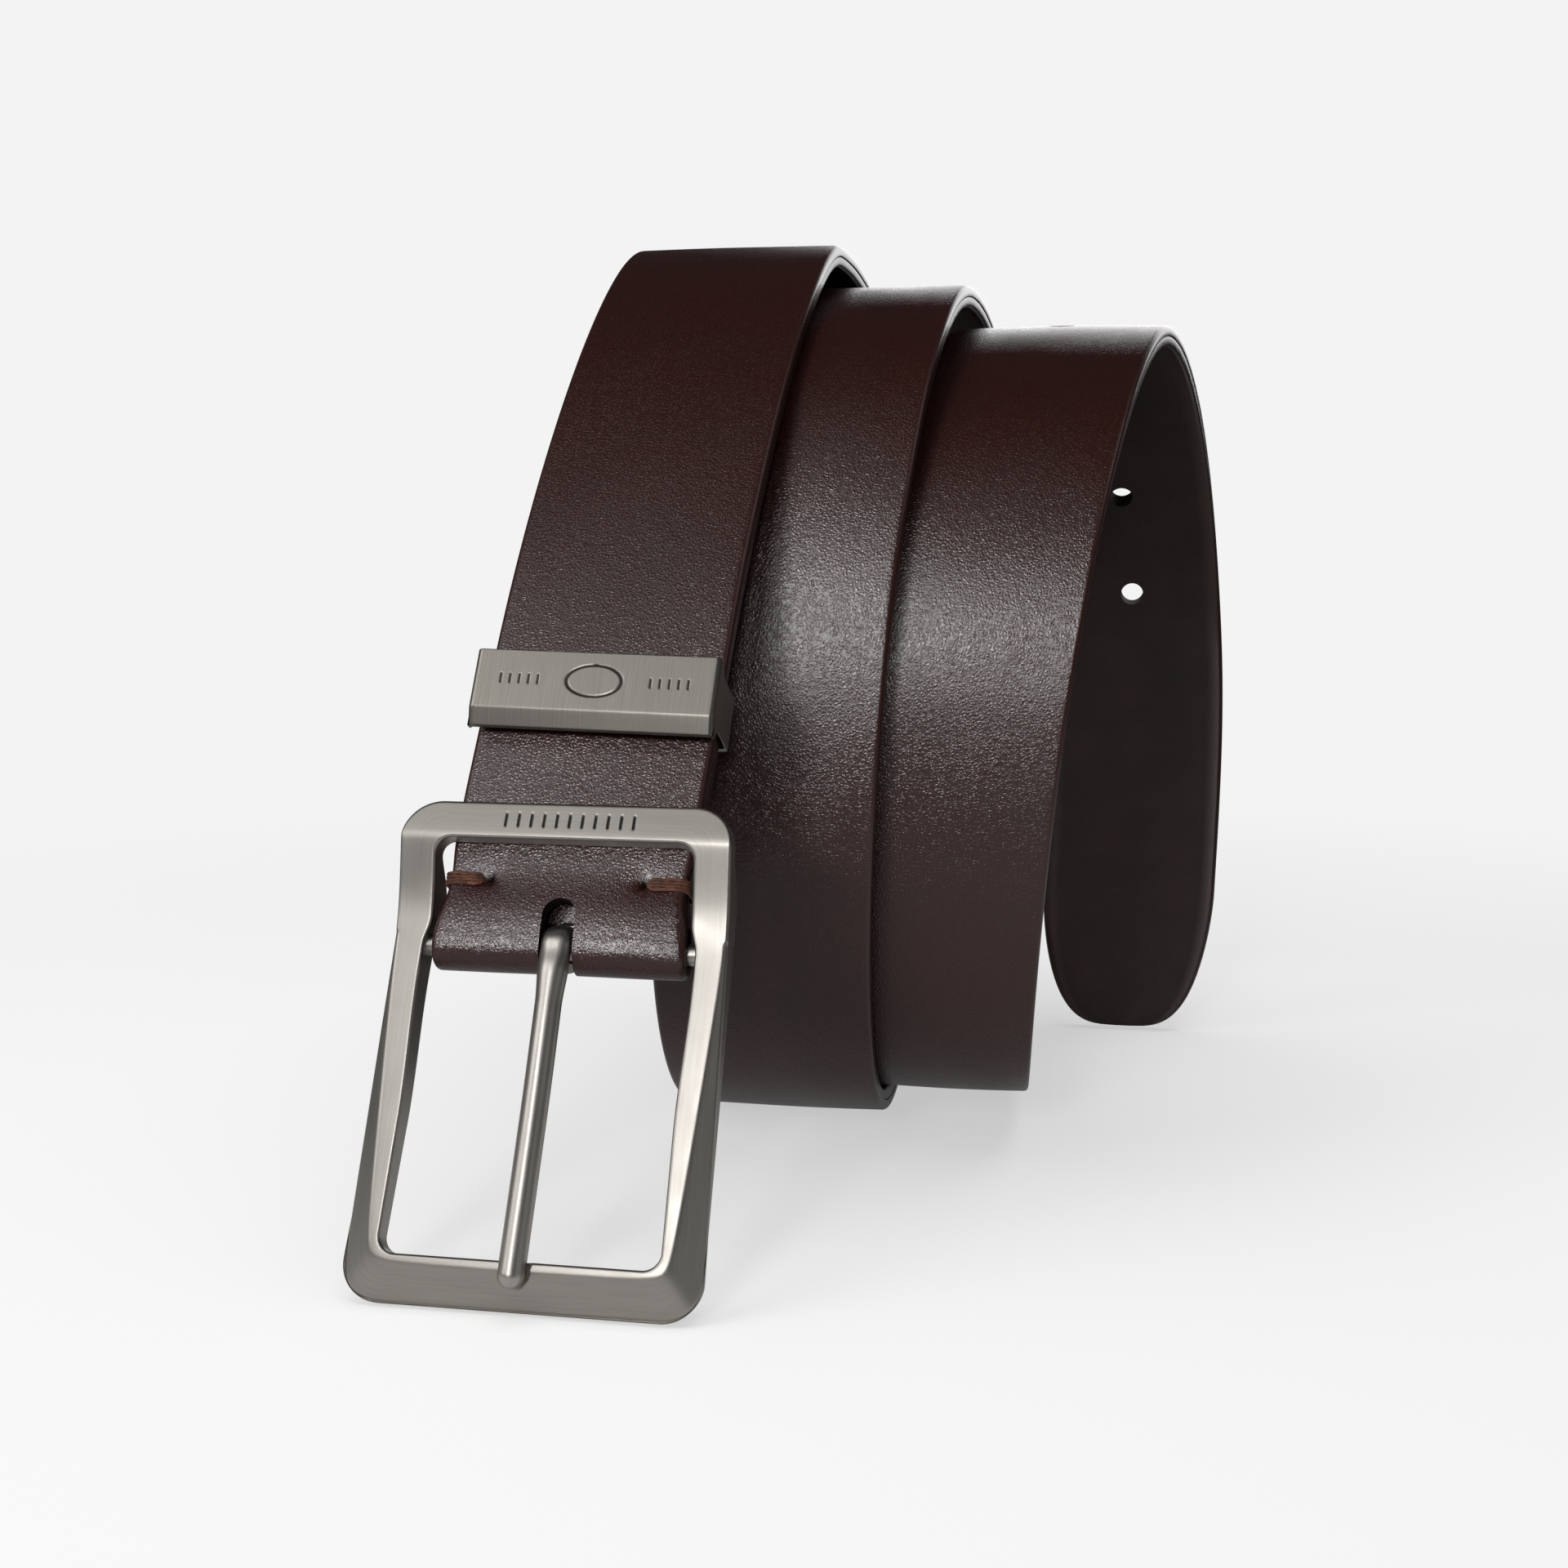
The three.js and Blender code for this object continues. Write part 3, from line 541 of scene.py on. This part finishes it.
def satin_finish(name, dark, light, streak_across, streak_along, depth):
    """Zinc casting plated with warm gunmetal nickel and brushed to a satin.

    Brushing leaves streaks about 0.15 mm apart and many millimetres long, drawn a little coarser
    than real so that they show. They spread reflections across themselves. Cut-in marks are
    darker, where polish and dust stay behind; the same mark also carries painted shade on the
    keeper's bevel.
    """
    material, tree, output = new_finish(name)
    place = add(tree, "UVMap", uv_map="UVMap").outputs[0]
    cut = add(tree, "Attribute", attribute_name="engraving_and_bevel_shade").outputs["Fac"]
    squeeze = add(tree, "Mapping", {"Vector": place, "Scale": (streak_across, streak_along, 1.0)})
    streak = add(tree, "TexNoise", {
        "Vector": squeeze.outputs[0], "Scale": 1.0, "Detail": 3, "Roughness": 0.65})
    smear = add(tree, "TexNoise", {"Vector": place, "Scale": 140, "Detail": 3})
    tone = add(tree, "MapRange", {0: streak.outputs[0], 1: 0.3, 2: 0.7})
    plate = add(tree, "Mix", {0: tone.outputs[0], 6: colour(dark), 7: colour(light)}, data_type="RGBA")
    # Darker where cut in, and on the keeper's bevel as painted shade.
    mark = add(tree, "Mix", {0: cut, 6: plate.outputs[2], 7: colour("#3b3836")}, data_type="RGBA")
    rough = add(tree, "MapRange", {0: smear.outputs[0], 1: 0.3, 2: 0.7, 3: 0.34, 4: 0.40})
    bump = add(tree, "Bump", {"Strength": 1.0, "Distance": depth, "Height": streak.outputs[0]})
    skin = add(tree, "BsdfPrincipled", {
        "Base Color": mark.outputs[2], "Metallic": 1.0, "Roughness": rough.outputs[0],
        "Normal": bump.outputs[0]})
    tree.links.new(skin.outputs[0], output.inputs[0])
    return material


def swept(path, side, wide, deep, ring=24, twist=None):
    """A rod along a path: each section an ellipse across the path, one axis along `side`.

    The other axis is square to both the path and `side`. `wide` and `deep` are the half sizes on
    the two axes, and `twist` a factor on the radius for every point.
    """
    way = np.gradient(path, axis=0)
    way /= np.linalg.norm(way, axis=1, keepdims=True)
    across = side - (way @ side)[:, None] * way
    across /= np.linalg.norm(across, axis=1, keepdims=True)
    up = np.cross(way, across)
    turn = np.linspace(0, 2 * math.pi, ring, endpoint=False)
    grow = 1.0 if twist is None else twist
    a = np.asarray(wide)[..., None] * np.cos(turn) * grow
    b = np.asarray(deep)[..., None] * np.sin(turn) * grow
    return path[:, None] + a[..., None] * across[:, None] + b[..., None] * up[:, None]


def rod_uv(points):
    """UV in millimetres: distance along the rod, and distance round it."""
    along = np.concatenate([[0], np.cumsum(np.linalg.norm(np.diff(points.mean(1), axis=0), axis=1))])
    middle = points[len(points) // 2]
    girth = np.linalg.norm(middle[0] - middle[1]) * np.arange(points.shape[1] + 1)
    return np.stack(np.broadcast_arrays(girth[None], along[:, None]), -1)


steps = np.concatenate([[0, 0.05, 0.15, 0.3], np.linspace(0.5, 43.9, 40), [44.1, 44.25, 44.35, 44.4]])
path = AXLE + (steps - AXLE_LENGTH / 2)[:, None] * BUCKLE_ACROSS
inward = (1 - np.minimum(steps, AXLE_LENGTH - steps) / AXLE_CHAMFER).clip(0)
ends = AXLE_RADIUS - AXLE_CHAMFER * (1 - np.sqrt(np.clip(1 - inward ** 2, 0, 1)))
points = swept(path, BUCKLE_OUT, ends, ends, 48)
# Painted light: the rod's copy of the plating is painted lighter than the frame's, in place of more light on
# the prong.
rod_metal_painted_lighter = satin_finish("brushed_gunmetal_rod_painted_light", "#aba7a1", "#bbb7b1", 2600, 60, STREAK_DEPTH)
axle = solid("axle_pin", points, rod_metal_painted_lighter, flat_uv=rod_uv(points))
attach(axle, "buckle")
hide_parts("buckle_axle")

# ---- Prong -----------------------------------------------------------------------------------
# A 4 mm rod of the same plated metal. Its upper end is pressed flat and rolled into an eye
# round the axle, and its rounded tip rests in the notch of the buckle's lower bar.

PRONG_RADIUS, PRONG_LENGTH, PRONG_LEAN, PRONG_HEIGHT = 2.0, 49.9, -1.2, 3.1
EYE_INNER, EYE_THICK, EYE_HALF = 1.92, 0.88, 2.35


def prong_grid():
    """The eye's flattened strip goes most of the way round the axle, then swells into the rod.

    The eye keeps 1.92 mm from the axle's centre and thickens over its last quarter turn. The
    rod's height above the axle rises to a low shoulder 4 mm down and then settles. Its width
    narrows from the eye's to the rod's by 9 mm down, and it closes in a half circle at the tip.
    """
    turn = np.radians(np.linspace(-25, -270, 46))
    thick = EYE_THICK + 0.6 * ease((np.abs(turn) - math.radians(195)) / math.radians(75))
    reach = EYE_INNER + thick
    eye = np.stack([0 * turn, reach * np.cos(turn), reach * np.sin(turn)], -1)
    tip_start = PRONG_LENGTH - PRONG_RADIUS
    closing = np.sin(np.linspace(0.08, math.pi / 2, 16))
    w = np.concatenate([np.linspace(0.35, 12, 30), np.linspace(12.6, tip_start, 60),
                        PRONG_LENGTH - PRONG_RADIUS * (1 - closing)])
    lean = PRONG_LEAN * (w / PRONG_LENGTH) ** 1.15
    height = 3.4 + 0.15 * ease(w / 4) - 0.45 * ease((w - 4) / 22)
    rod = np.stack([lean, w, height], -1)
    swell = 0.535 + 0.465 * ease((w - 0.2) / 4.0)
    flat = 1 - ease((w - 3) / 6)
    tip = np.sqrt(np.clip(1 - np.clip((w - tip_start) / PRONG_RADIUS, 0, 1) ** 2, 0.0004, 1))
    wide = np.concatenate([0 * turn + EYE_HALF, (PRONG_RADIUS + (EYE_HALF - PRONG_RADIUS) * flat) * tip])
    deep = np.concatenate([thick, (EYE_THICK + (PRONG_RADIUS - EYE_THICK) * swell) * tip])
    local = np.concatenate([eye, rod])
    path = AXLE + local[:, :1] * BUCKLE_ACROSS + local[:, 1:2] * BUCKLE_DOWN + local[:, 2:] * BUCKLE_OUT
    return swept(path, BUCKLE_ACROSS, wide, deep, 40)


points = prong_grid()
prong = solid("prong_rod", points, rod_metal_painted_lighter, flat_uv=rod_uv(points))
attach(prong, "prong")
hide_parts("prong")

# ---- Buckle frame ----------------------------------------------------------------------------
# One open casting, 52 mm wide and 74 mm long. The top bar is a thin raised plate that slopes
# down to the axle, where the rails bend and spread a little. They are bevelled outwards, more
# and more towards the bottom bar, which has a narrow bright rim and a notch for the prong.

OUTER = (25.8, -21.5, 53.0, 6.0)
WINDOW = (20.1, -15.6, 46.0, 2.6)
EDGE_ROUND = 0.45
NOTCH_RADIUS = 2.5
NOTCH_AT = -0.05
RAIL_BEND, RAIL_SPREAD, RAIL_SHIFT = -2.0, 0.055, -1.15
WAIST = 0.9


def rounded_loop(half, low, high, radius, top, side, foot, corner=26):
    """A rectangle with round corners, once round; the sides are divided by the given shares."""
    x, turn = half - radius, np.linspace(0, math.pi / 2, corner + 1)[1:-1]
    s, c = radius * np.sin(turn), radius * np.cos(turn)
    line = lambda a, b, share: np.stack([a[0] + (b[0] - a[0]) * share, a[1] + (b[1] - a[1]) * share], -1)
    upper, lower = low + radius, high - radius
    return np.concatenate([
        line((-x, low), (x, low), top), np.stack([x + s, upper - c], -1),
        line((half, upper), (half, lower), side), np.stack([x + c, lower + s], -1),
        line((x, high), (-x, high), foot), np.stack([-x - s, lower + c], -1),
        line((-half, lower), (-half, upper), side), np.stack([-x - c, upper - s], -1)])


def ring_section(front, wall, back, bend=6):
    """Outline of a bar's section, once round, with four rounded corners.

    Columns: share across from the inner side to the outer, corner offset across in radii, share
    of the height from back to front, and corner offset in height in radii.
    """
    turn = np.linspace(0, math.pi / 2, bend + 1)[1:-1]
    s, c, o, l = np.sin(turn), np.cos(turn), 0 * turn, 0 * turn + 1
    f, w, b = np.linspace(0, 1, front), np.linspace(1, 0, wall), np.linspace(1, 0, back)
    fo, wo, bo = 0 * f, 0 * w, 0 * b
    return np.concatenate([
        np.stack([f, fo, fo + 1, fo + 1], 1), np.stack([l, s, l, c], 1),
        np.stack([wo + 1, wo + 1, w, wo], 1), np.stack([l, c, o, -s], 1),
        np.stack([b, bo, bo, bo - 1], 1), np.stack([o, -s, o, -c], 1),
        np.stack([wo, wo - 1, w[::-1], wo], 1), np.stack([o, -c, l, s], 1)])


def soft_low(a, b, blend):
    """The lower of two heights, with the edge between them rounded over the blend."""
    return 0.5 * (a + b - np.sqrt((a - b) ** 2 + blend ** 2))


def frame_front(u, w):
    """Height of the frame's front: the lowest of its faces, each a plane, and the prong's notch."""
    bar = 6.1 + (w + 15.8) * 0.193
    slope = 6.1 - (w + 15.8) * 0.324
    rail = 2.4 - np.clip(w + 2, -20, 60) * 0.0072
    high = soft_low(bar, slope, 0.22)
    height = -soft_low(-high, -rail, 1.3)
    side = 2.4 - 0.0687 * (w + 2) - 0.738 * (np.abs(u) - OUTER[0]) + 4.0 * ease((-1.0 - w) / 4.0)
    foot = 2.1 - (w - 47.5) * 0.596
    height = soft_low(height, soft_low(side, foot, 1.5), 0.16)
    far = np.hypot(u - NOTCH_AT, np.maximum(w - 49.3, 0))
    deep = np.sqrt(np.maximum(NOTCH_RADIUS ** 2 - far ** 2, 0))
    notch = np.where(far < NOTCH_RADIUS, PRONG_HEIGHT - deep, 9.0)
    return np.minimum(height, np.where(w > 30, notch, 9.0))


def frame_back(w):
    """Height of the frame's back: raised under the thin top bar, and the rails thin out to the foot."""
    return -2.4 + 4.9 * ease((-7.5 - w) / 8.0) + 1.1 * np.clip((w - 4) / 42, 0, 1)


def groove_row(u, w, middle, pitch, count, long, wide):
    """Depth share of a row of short parallel grooves: 1 on a groove's line, 0 between them."""
    step = np.round((u - middle) / pitch)
    off = np.abs(u - middle - step * pitch)
    inside = (np.abs(step) <= (count - 1) / 2) & (np.abs(w) < long / 2)
    return inside * ease((wide / 2 - off) / (wide / 2) * 1.6) * ease((long / 2 - np.abs(w)) / 0.2)


def frame_grid():
    """The section carried round the frame between its window and its outline.

    The window is cut a little wider at the axle. From the bend down, the rails spread in
    proportion to their distance, and the whole frame leans to one side.
    """
    fine = np.concatenate([np.linspace(0, 0.16, 14)[:-1], np.linspace(0.16, 0.84, 270),
                           np.linspace(0.84, 1, 14)[1:]])
    notch = np.concatenate([np.linspace(0, 0.42, 34)[:-1], np.linspace(0.42, 0.62, 70),
                            np.linspace(0.62, 1, 32)[1:]])
    rail = np.concatenate([np.linspace(0, 0.26, 70)[:-1], np.linspace(0.26, 1, 110)])
    outer = rounded_loop(*OUTER, fine, rail, notch)
    window = rounded_loop(*WINDOW, fine, rail, notch)
    k = len(rail)
    for loop in (outer, window):
        start = len(fine) + 25 + k + 25 + len(notch) + 25
        first, last = loop[start].copy(), loop[start + k - 1].copy()
        loop[start:start + k] = first + (last - first) * (1 - rail[::-1])[:, None]
    across, bulge, level, lift = ring_section(26, 7, 8).T
    reach = outer - window
    wide = np.linalg.norm(reach, axis=1, keepdims=True)
    share = (EDGE_ROUND + across * (wide - 2 * EDGE_ROUND) + bulge * EDGE_ROUND) / wide
    plan = window[:, None] + share[..., None] * reach[:, None]
    u, w = plan[..., 0], plan[..., 1]
    waist = ease((w + 4) / 4.5) * (1 - ease((w - 3) / 24))
    u = u + WAIST * waist * (1 - share) * np.sign(u) * (np.abs(w - 15) < 25)
    front, back = frame_front(u, w), frame_back(w)
    mark = groove_row(u, w + 18.6, 0.6, 2.0, 11, 2.4, 0.5) * (level > 0.9)
    n = back + EDGE_ROUND + level * (front - back - 2 * EDGE_ROUND) + lift * EDGE_ROUND - 0.13 * mark
    spread = np.maximum(w - RAIL_BEND, 0) / (OUTER[2] - RAIL_BEND)
    u = u * (1 + RAIL_SPREAD * spread) + RAIL_SHIFT * spread
    points = AXLE + u[..., None] * BUCKLE_ACROSS + w[..., None] * BUCKLE_DOWN + n[..., None] * BUCKLE_OUT
    closed = np.concatenate([outer, outer[:1]])
    far = np.concatenate([[0], np.cumsum(np.linalg.norm(np.diff(closed, axis=0), axis=1))])
    section = np.concatenate([points[60], points[60, :1]])
    girth = np.concatenate([[0], np.cumsum(np.linalg.norm(np.diff(section, axis=0), axis=1))])
    uv = np.stack(np.broadcast_arrays(girth[None], far[:, None]), -1)
    return points, uv, mark


points, uv, mark = frame_grid()
frame_metal = satin_finish("brushed_gunmetal_frame", "#9f9b95", "#aaa6a0", 3000, 70, STREAK_DEPTH)
buckle = solid("buckle_casting", points, frame_metal, wrap=True, flat_uv=uv,
               marks={"engraving_and_bevel_shade": mark}, sharp=35)
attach(buckle, "buckle")
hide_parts("buckle_frame")

# ---- Bartacks --------------------------------------------------------------------------------
# Two short bars of waxed orange-brown thread that hold the fold shut, one at each edge. Each is
# four turns of 0.5 mm thread from a pricked hole in the face, out round the edge, and in behind.

THREAD_RADIUS = 0.27


def thread_finish():
    """Waxed polyester thread of two plies: matt, orange-brown, darker between its fibres."""
    material, tree, output = new_finish("waxed_twisted_thread")
    place = add(tree, "TexCoord").outputs["Object"]
    fibre = add(tree, "TexNoise", {"Vector": place, "Scale": 5200, "Detail": 4})
    soil = add(tree, "TexNoise", {"Vector": place, "Scale": 800, "Detail": 2})
    tone = add(tree, "Math", {0: fibre.outputs[0], 1: soil.outputs[0]}, operation="MULTIPLY")
    tint = add(tree, "MapRange", {0: tone.outputs[0], 1: 0.12, 2: 0.42})
    dyed = add(tree, "Mix", {0: tint.outputs[0], 6: colour("#48261a"), 7: colour("#9a6244")},
               data_type="RGBA")
    bump = add(tree, "Bump", {"Distance": 0.00006, "Height": fibre.outputs[0]})
    skin = add(tree, "BsdfPrincipled", {
        "Base Color": dyed.outputs[2], "Roughness": 0.6, "Sheen Weight": 0.2, "Normal": bump.outputs[0]})
    tree.links.new(skin.outputs[0], output.inputs[0])
    return material


def strand(side, step):
    """One turn of thread: out of its hole, over the face, round the edge, and into the back.

    The path runs through a few corner points and is then smoothed by averaging along it. Two
    plies give the radius a gentle twofold twist.
    """
    run, out = head_axes()
    top, base = 3.2, -3.15
    corners = np.array([[12.75, top - 1.2], [13.0, top - 0.15], [13.7, top + 0.3], [16.0, top + 0.28],
                        [17.9, top + 0.12], [18.85, top - 0.6], [19.0, top - 2.0], [19.0, base + 1.6],
                        [18.8, base + 0.2], [18.0, base - 0.22], [17.2, base - 0.2], [16.5, base + 0.7]])
    reach = np.linspace(0, len(corners) - 1, 110)
    line = np.stack([np.interp(reach, np.arange(len(corners)), corners[:, i]) for i in (0, 1)], -1)
    kernel = np.hanning(13) / np.hanning(13).sum()
    line = np.stack([np.convolve(np.pad(line[:, i], 6, mode="edge"), kernel, "valid") for i in (0, 1)], -1)
    shift = BARTACK_AT + step * 0.5 * ease((line[:, 0] - 12.6) / 1.2) + 0.05 * np.sin(line[:, 0] + 2 * step)
    path = AXLE + (side * line[:, :1]) * BUCKLE_ACROSS
    path = path + np.concatenate([0 * shift[:, None], shift[:, None] * run + line[:, 1:] * out], 1)
    turn = np.linspace(0, 2 * math.pi, 14, endpoint=False)
    ply = 1 + 0.13 * np.cos(2 * (turn - 0.42 * np.arange(110)[:, None] * side))
    return swept(path, np.array([0, *run]), THREAD_RADIUS + 0 * reach, THREAD_RADIUS + 0 * reach, 14, ply)


thread = thread_finish()
for side, name in ((-1, "left"), (1, "right")):
    strands = [solid(f"strand_{name}_{k}", strand(side, k - 1.5), thread) for k in range(4)]
    with bpy.context.temp_override(active_object=strands[0], selected_editable_objects=strands):
        bpy.ops.object.join()
    bar = strands[0]
    bar.name = bar.data.name = f"bartack_threads_{name}"
    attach(bar, "strap")
    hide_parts(f"bartack_{name}")

# ---- Keeper ----------------------------------------------------------------------------------
# A cast loop round the strap above the buckle, 13 mm high, plated like it. Its broad plate is
# brushed upright, with a bevel along the lower edge, and marked with a plain oval between two
# rows of short strokes.

KEEPER_SPAN = (33.0, 45.6)
KEEPER_OUTER = (19.6, -7.9, 4.7, 0.9)
KEEPER_INNER = (19.25, -6.3, 3.5, 0.5)
KEEPER_BEVEL = (2.9, 1.2)
KEEPER_TURN = math.radians(1.6)
OVAL_AT, OVAL_HALF, ROW_OUT = 40.8, (4.4, 2.6), 12.0


def keeper_grid():
    """The loop's section carried round the strap, with the plate's bevel and marks pressed in.

    The oval is where its own distance is near 1. Behind the plate the band is 0.3 lower. The
    bevel counts as 0.4 of a mark: painted shade, which leaves it darker than the plate.
    """
    plate, side, back = np.linspace(0, 1, 250), np.linspace(0, 1, 26), np.linspace(0, 1, 50)
    outer = rounded_loop(*KEEPER_OUTER, plate, side, back, 9)
    inner = rounded_loop(*KEEPER_INNER, plate, side, back, 9)
    across, bulge, level, lift = ring_section(4, 90, 4, 5).T
    reach = outer - inner
    wide = np.linalg.norm(reach, axis=1, keepdims=True)
    soft = 0.19
    share = (soft + across * (wide - 2 * soft) + bulge * soft) / wide
    plan = inner[:, None] + share[..., None] * reach[:, None]
    low, high = KEEPER_SPAN
    d = low + soft + level * (high - low - 2 * soft) + lift * soft
    u, n = plan[..., 0], -plan[..., 1]
    on_plate = ease((n - 6.6) / 0.5) * (share > 0.5)
    drop = KEEPER_BEVEL[1] * soft_low(0 * d, (d - low) / KEEPER_BEVEL[0] - 1, 0.05) * -1
    oval = np.hypot(u / OVAL_HALF[0], (d - OVAL_AT) / OVAL_HALF[1])
    mark = ease(1.6 * (1 - np.abs(oval - 1) / 0.09))
    for middle in (-ROW_OUT, ROW_OUT):
        mark = mark + groove_row(u, d - OVAL_AT, middle, 1.5, 5, 1.9, 0.45)
    mark = np.clip(mark, 0, 1) * on_plate
    n = n - np.clip(drop, 0, None) * on_plate - 0.1 * mark
    # Painted shade: the bevel along the plate's lower edge is darkened together with the marks.
    mark = np.maximum(mark, 0.4 * on_plate * ease((low + KEEPER_BEVEL[0] - d) / 0.15))
    run, out = head_axes()
    middle = np.interp(np.mean(KEEPER_SPAN), ROUTE[0], ROUTE[3])
    c, s, centre = math.cos(KEEPER_TURN), math.sin(KEEPER_TURN), np.mean(KEEPER_SPAN)
    d = centre + (d - centre) * (1 - 0.3 * ease((5.6 - n) / 1.6))
    turned = centre + (d - centre) * c - u * s
    points = np.empty(u.shape + (3,))
    points[..., 0] = middle + u * c + (d - centre) * s
    points[..., 1:] = AXLE[1:] + turned[..., None] * run + n[..., None] * out
    closed = np.concatenate([outer, outer[:1]])
    far = np.concatenate([[0], np.cumsum(np.linalg.norm(np.diff(closed, axis=0), axis=1))])
    height = np.append(d[0], d[0, 0])
    uv = np.stack(np.broadcast_arrays(far[:, None], height[None]), -1)
    return points, uv, mark


points, uv, mark = keeper_grid()
# Painted shade: the keeper's copy of the plating is painted a little darker than the frame's.
keeper_metal_painted_darker = satin_finish("brushed_gunmetal_plate_painted_shade", "#959189", "#a49f98", 3200, 90, STREAK_DEPTH)
keeper = solid("keeper_loop", points, keeper_metal_painted_darker, wrap=True, flat_uv=uv,
               marks={"engraving_and_bevel_shade": mark}, sharp=35)
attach(keeper, "keeper")
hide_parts("keeper")

# ---- Studio ----------------------------------------------------------------------------------
# A white sweep under the belt, large soft boxes above it and at its sides, and the camera a
# little to the right of the buckle and just above the middle of the coil.


def sweep_finish():
    """White photographic paper, matt, that fades out with distance so that no horizon shows."""
    material, tree, output = new_finish("white_paper_sweep")
    place = add(tree, "TexCoord").outputs["Object"]
    far = add(tree, "VectorMath", {0: place}, operation="LENGTH")
    fade = add(tree, "MapRange", {0: far.outputs["Value"], 1: 0.16, 2: 0.5},
               interpolation_type="SMOOTHSTEP")
    grain = add(tree, "TexNoise", {"Vector": place, "Scale": 900, "Detail": 2})
    bump = add(tree, "Bump", {"Strength": 0.2, "Distance": 0.00005, "Height": grain.outputs[0]})
    seen = add(tree, "LightPath").outputs["Is Camera Ray"]
    lift = add(tree, "Math", {0: seen, 1: 0.34, 2: 0.19}, operation="MULTIPLY_ADD")
    paper = add(tree, "BsdfPrincipled", {
        "Base Color": colour("#c8c8c8"), "Roughness": 0.85, "Specular IOR Level": 0.1,
        "Normal": bump.outputs[0], "Emission Color": colour("#ffffff"), "Emission Strength": lift.outputs[0]})
    clear = add(tree, "BsdfTransparent")
    mixed = add(tree, "MixShader", {0: fade.outputs[0], 1: paper.outputs[0], 2: clear.outputs[0]})
    tree.links.new(mixed.outputs[0], output.inputs[0])
    return material


def softbox(name, place, aim, size, power, only=()):
    """A rectangular soft light at a place, turned to face its aim, that may light only some things."""
    data = bpy.data.lights.new(name, "AREA")
    data.shape, data.size, data.size_y, data.energy = "RECTANGLE", size[0], size[1], power
    lamp = bpy.data.objects.new(name, data)
    bpy.context.scene.collection.objects.link(lamp)
    lamp.location = place
    lamp.rotation_euler = (Vector(aim) - Vector(place)).to_track_quat("-Z", "Y").to_euler()
    lamp.visible_camera = False
    if only:
        lit = bpy.data.collections.new("lit_by_" + name)
        for piece in only:
            lit.objects.link(piece)
        lamp.light_linking.receiver_collection = lit


grid = np.linspace(-1.6, 1.6, 33)
gx, gy = np.meshgrid(grid, grid, indexing="ij")
vertices = np.stack([gx, gy, 0 * gx - 0.0002], -1).reshape(-1, 3)
i, j = np.meshgrid(np.arange(32), np.arange(32), indexing="ij")
quads = np.stack([i * 33 + j, (i + 1) * 33 + j, (i + 1) * 33 + j + 1, i * 33 + j + 1], -1).reshape(-1, 4)
mesh = bpy.data.meshes.new("paper_sweep")
mesh.from_pydata(vertices.tolist(), [], quads.tolist())
mesh.materials.append(sweep_finish())
sweep = bpy.data.objects.new("paper_sweep", mesh)
bpy.context.scene.collection.objects.link(sweep)

middle = (-0.01, -0.03, 0.08)


def from_angles(azimuth, elevation, distance):
    """A place seen from the belt's middle: azimuth from the front, positive to the right."""
    a, e = math.radians(azimuth), math.radians(elevation)
    flat = distance * math.cos(e)
    rise = distance * math.sin(e)
    return (middle[0] + flat * math.sin(a), middle[1] - flat * math.cos(a), middle[2] + rise)


leather = (face, lining)
fittings = (axle, prong, buckle, keeper)
for name, azimuth, elevation, distance, size, radiance, only in (
        ("key_box", -8, 20, 1.0, (0.20, 0.24), 15.0, ()),
        ("leather_top_panel", -32, 50, 1.1, (0.44, 0.4), 1.8, leather),
        ("leather_key", 9, 13, 1.0, (0.14, 0.14), 41.0, leather),
        ("head_key", -21, 19, 1.0, (0.2, 0.12), 85.0, leather),
        ("left_box", -52, 28, 1.0, (0.5, 0.6), 2.4, ()),
        ("right_box", 82, 42, 1.0, (0.45, 0.5), 0.9, leather),
        ("rim_box", 170, 20, 1.1, (0.7, 0.5), 3.5, leather + fittings),
        ("fittings_top_panel", -12, 52, 1.1, (0.9, 0.5), 0.7, fittings),
        ("buckle_panel", -14, 41, 1.1, (0.4, 0.26), 2.6, (axle, prong, buckle)),
        ("fittings_right_panel", 62, 8, 1.1, (0.6, 0.8), 0.25, fittings),
        ("fittings_left_panel", -76, 8, 1.1, (0.8, 0.8), 0.15, fittings)):
    power = radiance * math.pi * size[0] * size[1]
    softbox(name, from_angles(azimuth, elevation, distance), middle, size, power, only)
softbox("floor_box", (0.0, 0.0, 1.3), middle, (1.3, 1.3), 1.8 * math.pi * 1.69, (sweep,))

world = bpy.data.worlds.new("pale_room")
bpy.context.scene.world = world
world.use_nodes = True
tree = world.node_tree
tree.nodes.clear()
seen = add(tree, "Background", {"Color": colour("#f3f3f3"), "Strength": 1.0})
room = add(tree, "Background", {"Color": colour("#e6e6e6"), "Strength": 0.05})
path = add(tree, "LightPath")
mixed = add(tree, "MixShader", {0: path.outputs["Is Camera Ray"], 1: room.outputs[0], 2: seen.outputs[0]})
tree.links.new(mixed.outputs[0], add(tree, "OutputWorld").inputs[0])

turn, tilt = math.radians(10.70), math.radians(7.27)
data = bpy.data.cameras.new("camera")
data.lens, data.sensor_width, data.clip_start = 45.0, 36.0, 0.01
camera = bpy.data.objects.new("camera", data)
bpy.context.scene.collection.objects.link(camera)
camera.location = (0.04849, -0.35849, 0.11094)
camera.rotation_euler = (math.pi / 2 - tilt, 0.0, turn)
bpy.context.scene.camera = camera
bpy.context.scene.view_settings.view_transform = "Standard"
